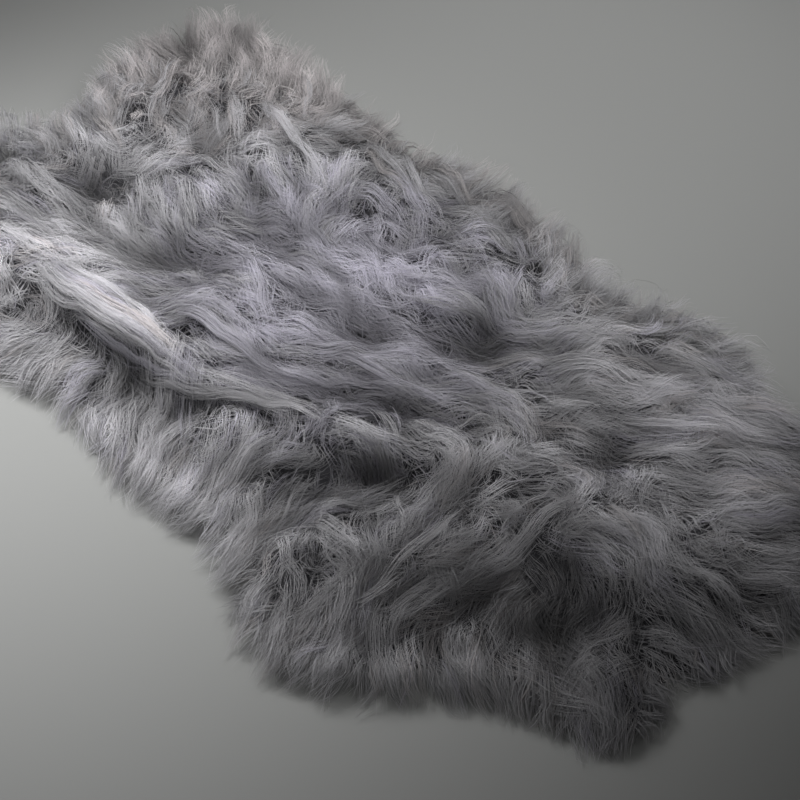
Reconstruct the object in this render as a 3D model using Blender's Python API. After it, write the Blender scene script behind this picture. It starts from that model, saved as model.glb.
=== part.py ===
"""A long-wool sheepskin rug lying on a floor: one hide with its wool, as one closed solid.

The solid is a lumpy slab, flat underneath, with tapering locks of wool around its rim that rest on the floor.
Its outline is the wool's edge: two leg lobes and a notch at each end, and a slightly drawn-in waist.
Units are metres and +Z is up. +X runs along the spine, and the origin is on the floor under the middle of the
rug's box.
"""

import math
import random

import bmesh
import bpy
import numpy as np
from mathutils import Vector
from mathutils.geometry import delaunay_2d_cdt

# Driving sizes.
PILE_DEPTH = 0.060  # the usual depth of the wool over the hide
RIM_DEPTH = 0.019  # the wool's depth where the rim's locks start
RIM_UNEVEN = 0.004  # how much that depth varies along the rim
SHOULDER = 0.105  # how far in from the rim the pile gains its depth
LOCK_WIDTH = 0.0175  # a rim lock's width at its root
LOCK_TIP = 0.0026  # a rim lock's width and depth at its tip
LOCK_LEAN = 26.0  # how far the longest locks lean off the rim's square, in degrees
LOCK_LONGEST = 0.064
LOCK_SHORTENING = 0.30  # the most that a lock falls short of the wool's edge, as a share of its length
LOCK_OVERREACH = 0.10  # the most that it passes that edge, likewise
LOCK_BEND_CHANCE = 0.10  # the part of its bend that is its own, as a share of its lean
TOP_PITCH = 0.0215  # spacing of the points that carry the lumps
TOP_CLEARANCE = 0.6  # the least gap from those points to the rim, as a share of the spacing
RIPPLE_RISE = 0.0055  # low waves that the lying locks make in the pile
RIPPLE_LENGTH = 0.072  # from wave to wave, across the spine
RIPPLE_SLANT = 0.35  # how far the waves turn off the spine, as a slope
RIPPLE_WANDER = 0.23  # the length over which a wave sways once
RIPPLE_SWAY = 1.6  # how far it sways, in radians of its phase
SHOULDER_FULLNESS = 0.85  # below 1 the shoulder is rounder
SPAN_STEPS = 12  # points to each span of the smooth outline
SEED = 7

# Waves that run round the rim. Columns: waves in one turn, share, phase.
DEPTH_WAVES = ((5, 0.6, 0.7), (13, 0.4, 0.0))
HEADING_WAVES = ((3, 0.4, 0.4), (8, 0.2, 0.0))
BEND_WAVES = ((5, 0.9, 0.0),)

WOOL_COLOUR = (0.215, 0.208, 0.222, 1.0)
WOOL_ROUGHNESS = 0.72

# The wool's edge, counter-clockwise from the right end. Columns: x, y, length of the rim's locks there.
WOOL_EDGE = (
    (0.611, 0.140, 0.050),
    (0.585, 0.230, 0.054),
    (0.525, 0.287, 0.050),
    (0.460, 0.302, 0.038),
    (0.402, 0.300, 0.032),
    (0.345, 0.350, 0.050),
    (0.260, 0.353, 0.048),
    (0.190, 0.314, 0.036),
    (0.110, 0.320, 0.044),
    (0.015, 0.350, 0.056),
    (-0.110, 0.350, 0.056),
    (-0.230, 0.337, 0.050),
    (-0.350, 0.342, 0.054),
    (-0.480, 0.355, 0.062),
    (-0.566, 0.302, 0.064),
    (-0.602, 0.200, 0.062),
    (-0.588, 0.112, 0.048),
    (-0.552, 0.050, 0.024),
    (-0.556, 0.006, 0.024),
    (-0.600, -0.040, 0.044),
    (-0.611, -0.115, 0.054),
    (-0.567, -0.195, 0.056),
    (-0.490, -0.262, 0.054),
    (-0.395, -0.306, 0.050),
    (-0.270, -0.292, 0.048),
    (-0.160, -0.288, 0.054),
    (-0.050, -0.300, 0.058),
    (0.060, -0.294, 0.058),
    (0.135, -0.322, 0.062),
    (0.210, -0.355, 0.064),
    (0.300, -0.320, 0.064),
    (0.362, -0.268, 0.062),
    (0.435, -0.206, 0.052),
    (0.522, -0.180, 0.044),
    (0.566, -0.124, 0.034),
    (0.544, -0.066, 0.024),
    (0.568, -0.018, 0.032),
    (0.594, 0.050, 0.044),
)

# Lumps of heaped wool and, with a negative rise, the hollows where locks part.
# Columns: x, y, rise, half-length, half-width, heading of the length in degrees.
LUMPS = (
    (-0.300, -0.150, 0.021, 0.120, 0.042, 4),  # the spine's crest, from the left leg
    (-0.110, -0.128, 0.020, 0.110, 0.042, 9),
    (0.105, -0.068, 0.023, 0.090, 0.045, 24),
    (0.245, 0.000, 0.018, 0.080, 0.050, 22),
    (0.370, 0.018, 0.015, 0.080, 0.045, 14),
    (0.490, 0.040, 0.012, 0.075, 0.055, -35),
    (0.235, 0.148, 0.017, 0.110, 0.048, 30),
    (0.330, 0.250, 0.013, 0.075, 0.050, 5),
    (0.040, 0.200, 0.019, 0.075, 0.060, -25),
    (-0.130, 0.268, 0.013, 0.070, 0.050, 0),
    (-0.280, 0.170, 0.017, 0.090, 0.050, -50),
    (-0.470, 0.230, 0.014, 0.090, 0.060, 100),
    (-0.295, 0.030, 0.014, 0.060, 0.035, -20),
    (-0.130, -0.025, 0.011, 0.080, 0.050, -15),
    (-0.500, -0.120, 0.013, 0.080, 0.060, 30),
    (0.195, -0.225, 0.013, 0.070, 0.060, 0),
    (0.275, -0.155, 0.015, 0.080, 0.036, -60),
    (-0.060, -0.255, 0.006, 0.080, 0.040, 0),
    (0.500, -0.140, 0.010, 0.050, 0.040, -45),
    (-0.390, -0.030, -0.024, 0.055, 0.036, -25),
    (-0.250, -0.068, -0.022, 0.060, 0.030, 10),
    (-0.246, 0.093, -0.018, 0.040, 0.030, -60),
    (-0.350, 0.110, -0.016, 0.060, 0.024, 55),
    (-0.100, -0.195, -0.019, 0.110, 0.028, 6),
    (0.013, 0.045, -0.019, 0.050, 0.036, 0),
    (0.111, 0.108, -0.028, 0.065, 0.045, 25),
    (0.165, -0.100, -0.020, 0.050, 0.028, 25),
    (0.120, -0.165, -0.014, 0.090, 0.026, 30),
    (0.318, 0.082, -0.022, 0.050, 0.036, 20),
    (0.340, -0.110, -0.016, 0.075, 0.045, -50),
    (0.420, -0.108, -0.022, 0.050, 0.045, 0),
)

# How a lock narrows towards its tip. Columns: share of its length, share of its width, share of its depth.
LOCK_TAPER = (
    (0.26, 0.90, 0.80),
    (0.52, 0.70, 0.58),
    (0.78, 0.42, 0.34),
    (1.00, 0.00, 0.00),
)


def clear_scene():
    for thing in list(bpy.data.objects):
        bpy.data.objects.remove(thing, do_unlink=True)


def closed_curve(points, steps):
    """A smooth closed curve through the points, steps points to each span (Catmull-Rom)."""
    before, after, beyond = (np.roll(points, shift, axis=0) for shift in (1, -1, -2))
    spans = []
    for t in np.arange(steps) / steps:
        spans.append(
            0.5
            * (
                2.0 * points
                + (after - before) * t
                + (2.0 * before - 5.0 * points + 4.0 * after - beyond) * t**2
                + (3.0 * points - before - 3.0 * after + beyond) * t**3
            )
        )
    return np.stack(spans, axis=1).reshape(-1, points.shape[1])


def even_stations(curve, pitch):
    """The closed curve's points respaced evenly, about pitch apart."""
    closed = np.vstack([curve, curve[:1]])
    steps = np.linalg.norm(np.diff(closed[:, :2], axis=0), axis=1)
    travelled = np.concatenate([[0.0], np.cumsum(steps)])
    count = round(travelled[-1] / pitch)
    wanted = np.linspace(0.0, travelled[-1], count, endpoint=False)
    return np.stack([np.interp(wanted, travelled, closed[:, k]) for k in range(curve.shape[1])], axis=1)


def outward(curve):
    """Unit normals of a closed counter-clockwise curve, in the plane."""
    along = np.roll(curve[:, :2], -1, axis=0) - np.roll(curve[:, :2], 1, axis=0)
    square = np.stack([along[:, 1], -along[:, 0]], axis=1)
    return square / np.linalg.norm(square, axis=1, keepdims=True)


def rim_stations():
    """The slab's own rim: the wool's edge drawn in by the length of its locks. Columns: x, y, lock length."""
    edge = closed_curve(np.array(WOOL_EDGE), SPAN_STEPS)
    rim = edge.copy()
    rim[:, :2] -= outward(edge) * edge[:, 2:3]
    return even_stations(rim, LOCK_WIDTH)


def distance_in(points, rim):
    """How far each point lies from the rim."""
    ends = np.roll(rim, -1, axis=0)
    runs = ends - rim
    offsets = points[:, None, :] - rim[None, :, :]
    share = np.clip((offsets * runs).sum(2) / (runs * runs).sum(1), 0.0, 1.0)
    return np.linalg.norm(offsets - share[..., None] * runs, axis=2).min(axis=1)


def inside(points, rim):
    """Whether each point lies inside the closed rim, by the crossings of a ray along +X."""
    x, y = points[:, 0][:, None], points[:, 1][:, None]
    ends = np.roll(rim, -1, axis=0)
    spans = (rim[:, 1] > y) != (ends[:, 1] > y)
    rise = np.where(ends[:, 1] == rim[:, 1], 1.0, ends[:, 1] - rim[:, 1])
    crossing = rim[:, 0] + (y - rim[:, 1]) / rise * (ends[:, 0] - rim[:, 0])
    return (spans & (x < crossing)).sum(axis=1) % 2 == 1


def round_waves(waves, angle):
    """The sum of waves that close on themselves in one turn, at an angle or an array of them."""
    return sum(share * np.sin(count * angle + phase) for count, share, phase in waves)


def rim_depth(points):
    """The wool's depth at the rim, unevenly round it."""
    return RIM_DEPTH + RIM_UNEVEN * round_waves(DEPTH_WAVES, np.arctan2(points[:, 1], points[:, 0]))


def pile_depth(points, rim):
    """The wool's depth at each point: a shoulder from the rim, then the lumps and low waves."""
    x, y = points[:, 0], points[:, 1]
    inward = np.clip(distance_in(points, rim) / SHOULDER, 0.0, 1.0)
    shoulder = np.sin(0.5 * math.pi * inward) ** SHOULDER_FULLNESS
    sway = RIPPLE_SWAY * np.sin(math.tau * x / RIPPLE_WANDER)
    relief = RIPPLE_RISE * np.sin(math.tau * (y + RIPPLE_SLANT * x) / RIPPLE_LENGTH + sway)
    for centre_x, centre_y, rise, half_length, half_width, heading in LUMPS:
        turn = math.radians(heading)
        along = (x - centre_x) * math.cos(turn) + (y - centre_y) * math.sin(turn)
        across = (y - centre_y) * math.cos(turn) - (x - centre_x) * math.sin(turn)
        relief += rise * np.exp(-((along / half_length) ** 2) - (across / half_width) ** 2)
    edge = rim_depth(points)
    return edge + shoulder * (PILE_DEPTH - edge + relief)


def top_points(rim):
    """Points in a staggered grid over the slab, clear of its rim."""
    row_pitch = TOP_PITCH * math.sqrt(3.0) / 2.0
    low, high = rim.min(axis=0), rim.max(axis=0)
    rows = []
    for number, y in enumerate(np.arange(low[1], high[1], row_pitch)):
        start = low[0] + (number % 2) * TOP_PITCH / 2.0
        xs = np.arange(start, high[0], TOP_PITCH)
        rows.append(np.stack([xs, np.full_like(xs, y)], axis=1))
    grid = np.vstack(rows)
    grid = grid[inside(grid, rim)]
    return grid[distance_in(grid, rim) > TOP_CLEARANCE * TOP_PITCH]


def build_slab(bm, rim):
    """The slab between its flat underside and its lumpy top. Returns its wall's faces, one for each station."""
    count = len(rim)
    plan = np.vstack([rim, top_points(rim)])
    depth = pile_depth(plan, rim)
    depth[:count] = rim_depth(rim)
    outline = [list(range(count))]
    faces = delaunay_2d_cdt([Vector(p) for p in plan], [], outline, 1, 1e-6)[2]
    top = [bm.verts.new((x, y, z)) for (x, y), z in zip(plan, depth)]
    floor = [bm.verts.new((x, y, 0.0)) for x, y in rim]
    for face in faces:
        bm.faces.new([top[corner] for corner in face])
    bm.faces.new(floor[::-1])
    walls = []
    for here in range(count):
        beside = (here + 1) % count
        walls.append(bm.faces.new([floor[here], floor[beside], top[beside], top[here]]))
    return walls


def grow_lock(bm, wall, length, heading, bend):
    """Draws one wall face out into a lock that tapers, bends and keeps its underside on the floor."""
    low_start, low_end, high_end, high_start = (corner.co.copy() for corner in wall.verts)
    centre = (low_start + low_end) / 2.0
    half_width = (low_end - low_start).length / 2.0
    depth = (high_start.z + high_end.z) / 2.0
    reached = 0.0
    for share, width_share, depth_share in LOCK_TAPER:
        angle = heading + bend * share
        centre = centre + Vector((math.cos(angle), math.sin(angle), 0.0)) * length * (share - reached)
        reached = share
        side = Vector((-math.sin(angle), math.cos(angle), 0.0)) * max(half_width * width_share, LOCK_TIP / 2.0)
        rise = Vector((0.0, 0.0, max(depth * depth_share, LOCK_TIP)))
        wall = bmesh.ops.extrude_discrete_faces(bm, faces=[wall])["faces"][0]
        corners = (centre - side, centre + side, centre + side + rise, centre - side + rise)
        for corner, place in zip(wall.verts, corners):
            corner.co = place


def grow_locks(bm, walls, stations):
    """A lock from every wall face, its length and lean changing along the rim."""
    chance = random.Random(SEED)
    count = len(stations)
    middles = (stations + np.roll(stations, -1, axis=0)) / 2.0
    ends = np.roll(stations, -1, axis=0) - stations
    for number, wall in enumerate(walls):
        square = math.atan2(-ends[number, 0], ends[number, 1])
        around = math.tau * number / count
        reach = middles[number, 2]
        length = reach * (1.0 + chance.uniform(-LOCK_SHORTENING, LOCK_OVERREACH))
        lean = math.radians(LOCK_LEAN) * (reach / LOCK_LONGEST) ** 2
        heading = square + lean * round_waves(HEADING_WAVES, around)
        own_bend = chance.uniform(-LOCK_BEND_CHANCE, LOCK_BEND_CHANCE)
        bend = lean * (round_waves(BEND_WAVES, around) + own_bend)
        grow_lock(bm, wall, length, heading, bend)


def centre_over_origin(bm):
    """Moves the solid so that the middle of its box stands over the origin."""
    xs = [vert.co.x for vert in bm.verts]
    ys = [vert.co.y for vert in bm.verts]
    middle = Vector((-(min(xs) + max(xs)) / 2.0, -(min(ys) + max(ys)) / 2.0, 0.0))
    bmesh.ops.translate(bm, verts=bm.verts, vec=middle)


def wool_material():
    material = bpy.data.materials.new("grey_wool")
    material.use_nodes = True
    shader = material.node_tree.nodes["Principled BSDF"]
    shader.inputs["Base Color"].default_value = WOOL_COLOUR
    shader.inputs["Roughness"].default_value = WOOL_ROUGHNESS
    shader.inputs["Metallic"].default_value = 0.0
    return material


def build_sheepskin(collection):
    stations = rim_stations()
    bm = bmesh.new()
    walls = build_slab(bm, stations[:, :2])
    grow_locks(bm, walls, stations)
    centre_over_origin(bm)
    bmesh.ops.recalc_face_normals(bm, faces=bm.faces)
    bmesh.ops.triangulate(bm, faces=bm.faces)
    mesh = bpy.data.meshes.new("sheepskin")
    bm.to_mesh(mesh)
    bm.free()
    mesh.shade_smooth()
    mesh.materials.append(wool_material())
    collection.objects.link(bpy.data.objects.new("sheepskin", mesh))


def main():
    clear_scene()
    parts = bpy.data.collections.new("sheepskin_rug")
    bpy.context.scene.collection.children.link(parts)
    build_sheepskin(parts)


main()
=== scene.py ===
"""The looks of a long-wool sheepskin rug: its hide, the matted wool near the skin, and the locks over it.

A lock is a bundle of thin tapering strips. It leaves the hide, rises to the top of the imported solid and
lies over it along the comb, a field of directions that strokes laid over the photograph give. Units are
metres, +Z is up, and places in the photograph are pixels, right and down from its upper left corner.
"""

import copy
import math

import bpy
import numpy as np
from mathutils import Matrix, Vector, noise
from mathutils.bvhtree import BVHTree

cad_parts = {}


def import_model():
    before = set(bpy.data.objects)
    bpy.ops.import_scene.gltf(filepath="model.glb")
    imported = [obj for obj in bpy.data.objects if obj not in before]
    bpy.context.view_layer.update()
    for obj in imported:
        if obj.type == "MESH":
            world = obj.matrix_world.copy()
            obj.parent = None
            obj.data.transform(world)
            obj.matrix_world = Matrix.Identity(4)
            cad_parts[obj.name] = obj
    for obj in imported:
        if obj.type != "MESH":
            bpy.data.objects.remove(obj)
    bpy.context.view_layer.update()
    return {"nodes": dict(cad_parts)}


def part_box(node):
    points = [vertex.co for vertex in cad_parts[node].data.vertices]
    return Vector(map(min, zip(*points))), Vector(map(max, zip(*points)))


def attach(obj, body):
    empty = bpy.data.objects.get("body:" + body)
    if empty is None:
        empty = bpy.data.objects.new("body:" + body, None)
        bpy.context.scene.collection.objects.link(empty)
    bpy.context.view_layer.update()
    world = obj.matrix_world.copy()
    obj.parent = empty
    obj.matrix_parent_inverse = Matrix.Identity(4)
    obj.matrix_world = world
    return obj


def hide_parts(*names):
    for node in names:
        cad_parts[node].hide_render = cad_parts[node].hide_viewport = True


NODE = "sheepskin"
SEED = 11
TINY = 1e-9
GROUP = 1500  # about how many places are set against all the others at once

# ---------------------------------------------------------------- what was read off the photograph

# The wool's edge, as part.py has it. Columns: x, y, how far the wool overhangs the hide there.
WOOL_EDGE = (
    (0.611, 0.140, 0.050), (0.585, 0.230, 0.054), (0.525, 0.287, 0.050), (0.460, 0.302, 0.038),
    (0.402, 0.300, 0.032), (0.345, 0.350, 0.050), (0.260, 0.353, 0.048), (0.190, 0.314, 0.036),
    (0.110, 0.320, 0.044), (0.015, 0.350, 0.056), (-0.110, 0.350, 0.056), (-0.230, 0.337, 0.050),
    (-0.350, 0.342, 0.054), (-0.480, 0.355, 0.062), (-0.566, 0.302, 0.064), (-0.602, 0.200, 0.062),
    (-0.588, 0.112, 0.048), (-0.552, 0.050, 0.024), (-0.556, 0.006, 0.024), (-0.600, -0.040, 0.044),
    (-0.611, -0.115, 0.054), (-0.567, -0.195, 0.056), (-0.490, -0.262, 0.054), (-0.395, -0.306, 0.050),
    (-0.270, -0.292, 0.048), (-0.160, -0.288, 0.054), (-0.050, -0.300, 0.058), (0.060, -0.294, 0.058),
    (0.135, -0.322, 0.062), (0.210, -0.355, 0.064), (0.300, -0.320, 0.064), (0.362, -0.268, 0.062),
    (0.435, -0.206, 0.052), (0.522, -0.180, 0.044), (0.566, -0.124, 0.034), (0.544, -0.066, 0.024),
    (0.568, -0.018, 0.032), (0.594, 0.050, 0.044),
)

# Strokes of the comb, each from a lock's root to its tip: the pixels of each point in turn.
COMB = (
    # the far lobe and its rim
    (255, 100, 262, 70, 256, 40), (285, 75, 280, 50, 275, 15), (305, 90, 312, 65, 318, 42),
    (335, 110, 345, 90, 352, 72), (235, 60, 228, 30, 222, 2), (200, 60, 192, 30, 190, 5),
    (172, 70, 160, 45, 150, 22), (150, 82, 128, 62, 105, 50), (130, 100, 108, 86, 84, 74),
    (195, 80, 186, 62, 178, 45), (372, 135, 385, 118, 395, 100), (410, 150, 425, 132, 440, 118),
    (445, 165, 460, 150, 478, 138), (480, 185, 500, 172, 520, 165),
    # the left lobe and its rim
    (55, 150, 40, 128, 28, 108), (95, 150, 82, 122, 70, 100), (118, 160, 104, 128, 88, 98),
    (15, 150, 0, 128, -15, 115), (-30, 160, -55, 145, -75, 135), (40, 165, 80, 195, 120, 228),
    (0, 150, 40, 190, 90, 222), (-20, 190, 20, 222, 60, 245), (-50, 210, -10, 240, 30, 255),
    (0, 235, 40, 244, 80, 262), (60, 230, 110, 245, 160, 262), (128, 165, 136, 195, 140, 225),
    (150, 160, 158, 190, 165, 225), (182, 165, 190, 195, 195, 225), (200, 150, 225, 168, 245, 182),
    (205, 185, 235, 200, 262, 215), (205, 85, 214, 110, 222, 145), (225, 80, 238, 115, 240, 150),
    (180, 80, 190, 105, 202, 140), (150, 100, 140, 125, 130, 150), (160, 100, 168, 120, 175, 150),
    # the upper middle
    (250, 95, 290, 130, 315, 160, 328, 185), (258, 150, 272, 180, 288, 208), (285, 105, 305, 118, 330, 128),
    (295, 165, 315, 188, 330, 205), (345, 128, 372, 133, 392, 146), (400, 150, 350, 185, 305, 228),
    (380, 145, 350, 165, 325, 190), (400, 150, 420, 190, 430, 215), (385, 182, 420, 196, 442, 218),
    (372, 210, 378, 228, 376, 248), (250, 212, 278, 218, 305, 228), (270, 232, 292, 245, 312, 264),
    (262, 268, 285, 278, 305, 292), (350, 258, 366, 266, 380, 282), (382, 270, 430, 276, 470, 292),
    (360, 282, 372, 296, 385, 312), (440, 240, 470, 242, 488, 258), (470, 238, 505, 222, 542, 205),
    (450, 195, 480, 188, 510, 180), (200, 225, 232, 240, 262, 250),
    # the spine's crest
    (30, 240, 60, 280, 100, 300, 150, 325, 172, 350), (172, 345, 200, 385, 250, 395, 330, 425),
    (145, 305, 190, 312, 220, 335, 250, 360, 292, 374), (0, 262, 30, 285, 62, 308),
    (100, 268, 130, 276, 165, 282), (120, 285, 160, 298, 205, 298, 240, 318),
    (355, 408, 378, 413, 396, 430, 400, 445), (325, 420, 380, 448, 425, 452),
    (250, 395, 300, 405, 350, 412),
    # below the crest
    (45, 312, 20, 318, -10, 325), (50, 335, 25, 340, -5, 345), (-20, 270, -50, 275, -80, 285),
    (-10, 300, -40, 310, -75, 325), (70, 345, 45, 352, 10, 360), (80, 370, 50, 378, 15, 388),
    (85, 385, 65, 400, 50, 418), (95, 395, 94, 415, 90, 440), (120, 390, 115, 430, 110, 465),
    (135, 385, 132, 420, 125, 460), (152, 425, 142, 455, 130, 488), (172, 425, 162, 455, 150, 482),
    (160, 395, 130, 405, 105, 420), (200, 415, 178, 430, 158, 445), (250, 425, 222, 468, 202, 520),
    (290, 430, 242, 478, 202, 555), (225, 405, 200, 415, 180, 420), (200, 500, 186, 512, 172, 522),
    (212, 518, 198, 538, 188, 560), (252, 568, 235, 585, 218, 602), (250, 470, 225, 500, 205, 530),
    # the middle
    (310, 310, 328, 328, 345, 342), (258, 305, 264, 322, 272, 342), (265, 355, 290, 372, 340, 386),
    (255, 362, 265, 380, 278, 396), (300, 386, 350, 384, 400, 396),
    (320, 340, 360, 362, 400, 386, 450, 406), (400, 405, 438, 416, 470, 428),
    (450, 372, 500, 394, 525, 406), (430, 290, 470, 302, 500, 332),
    (400, 290, 450, 302, 480, 312, 496, 328), (525, 262, 508, 295, 500, 322),
    (380, 330, 410, 345, 435, 365), (330, 250, 345, 275, 352, 300), (300, 270, 318, 290, 335, 305),
    (210, 260, 240, 285, 258, 320),
    # the right
    (520, 370, 600, 366, 622, 374, 662, 397), (500, 345, 540, 338, 580, 335),
    (540, 335, 590, 335, 640, 345), (640, 345, 690, 360, 740, 380), (660, 375, 710, 385, 760, 405),
    (540, 400, 570, 404, 602, 406), (600, 410, 650, 425, 690, 427, 738, 434),
    (650, 455, 700, 446, 718, 432), (700, 420, 742, 432, 792, 442), (750, 455, 768, 464, 785, 478),
    (620, 320, 660, 322, 690, 300), (690, 320, 715, 325, 735, 318), (700, 345, 735, 350, 770, 345),
    (740, 380, 765, 388, 790, 392), (560, 300, 580, 275, 590, 250), (530, 260, 550, 238, 565, 215),
    (590, 310, 610, 295, 622, 272), (790, 420, 830, 435, 865, 450), (790, 480, 830, 500, 870, 515),
    (510, 450, 540, 458, 565, 468), (560, 440, 580, 456, 583, 472), (510, 475, 535, 480, 560, 490),
    (600, 450, 625, 458, 650, 470), (610, 480, 625, 488, 642, 500), (600, 500, 630, 520, 646, 542),
    (660, 490, 670, 515, 676, 542), (695, 490, 725, 494, 755, 502), (712, 515, 740, 524, 770, 530),
    (695, 540, 722, 541, 752, 546), (750, 555, 775, 562, 805, 572), (750, 580, 780, 590, 805, 602),
    (740, 600, 750, 620, 785, 628), (800, 560, 835, 570, 868, 575), (790, 610, 820, 622, 845, 630),
    # the lower right and the near rim
    (520, 432, 495, 450, 470, 470), (415, 465, 380, 490, 350, 500),
    (600, 500, 560, 505, 530, 530, 500, 562), (550, 542, 590, 520, 640, 545),
    (590, 550, 612, 566, 632, 582), (525, 578, 512, 585, 498, 594), (630, 595, 615, 600, 598, 612),
    (650, 540, 655, 580, 665, 620), (670, 560, 698, 588, 720, 602), (660, 590, 680, 625, 692, 648),
    (700, 590, 728, 635, 762, 652), (700, 655, 720, 660, 745, 668), (680, 660, 710, 676, 740, 682),
    (470, 490, 430, 540, 400, 560, 368, 590), (450, 500, 434, 520, 418, 542),
    (420, 560, 380, 590, 348, 602), (400, 600, 385, 610, 368, 622), (470, 570, 430, 600, 388, 622),
    (480, 600, 450, 615, 418, 632), (300, 440, 280, 450, 258, 462), (300, 440, 286, 460, 268, 482),
    (350, 500, 325, 515, 298, 532), (320, 530, 298, 536, 272, 542), (300, 550, 325, 552, 352, 550),
    (345, 575, 328, 598, 340, 622), (350, 608, 358, 622, 355, 642), (350, 640, 318, 648, 280, 662),
    (330, 645, 322, 670, 304, 692), (352, 655, 332, 685, 308, 712), (372, 645, 358, 675, 340, 702),
    (390, 645, 378, 685, 350, 722), (400, 640, 402, 670, 400, 712), (430, 645, 432, 675, 430, 710),
    (440, 648, 460, 690, 466, 722), (475, 620, 468, 655, 490, 712), (502, 645, 503, 672, 502, 712),
    (520, 640, 545, 662, 572, 676), (540, 670, 545, 700, 550, 735), (572, 680, 578, 715, 582, 752),
    (602, 680, 602, 715, 598, 755), (632, 690, 624, 725, 612, 766), (652, 670, 655, 695, 656, 735),
    (640, 632, 644, 655, 645, 675), (268, 590, 262, 620, 250, 655), (290, 600, 280, 635, 262, 675),
    (240, 590, 230, 620, 225, 650), (300, 640, 282, 665, 255, 682),
)

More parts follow.
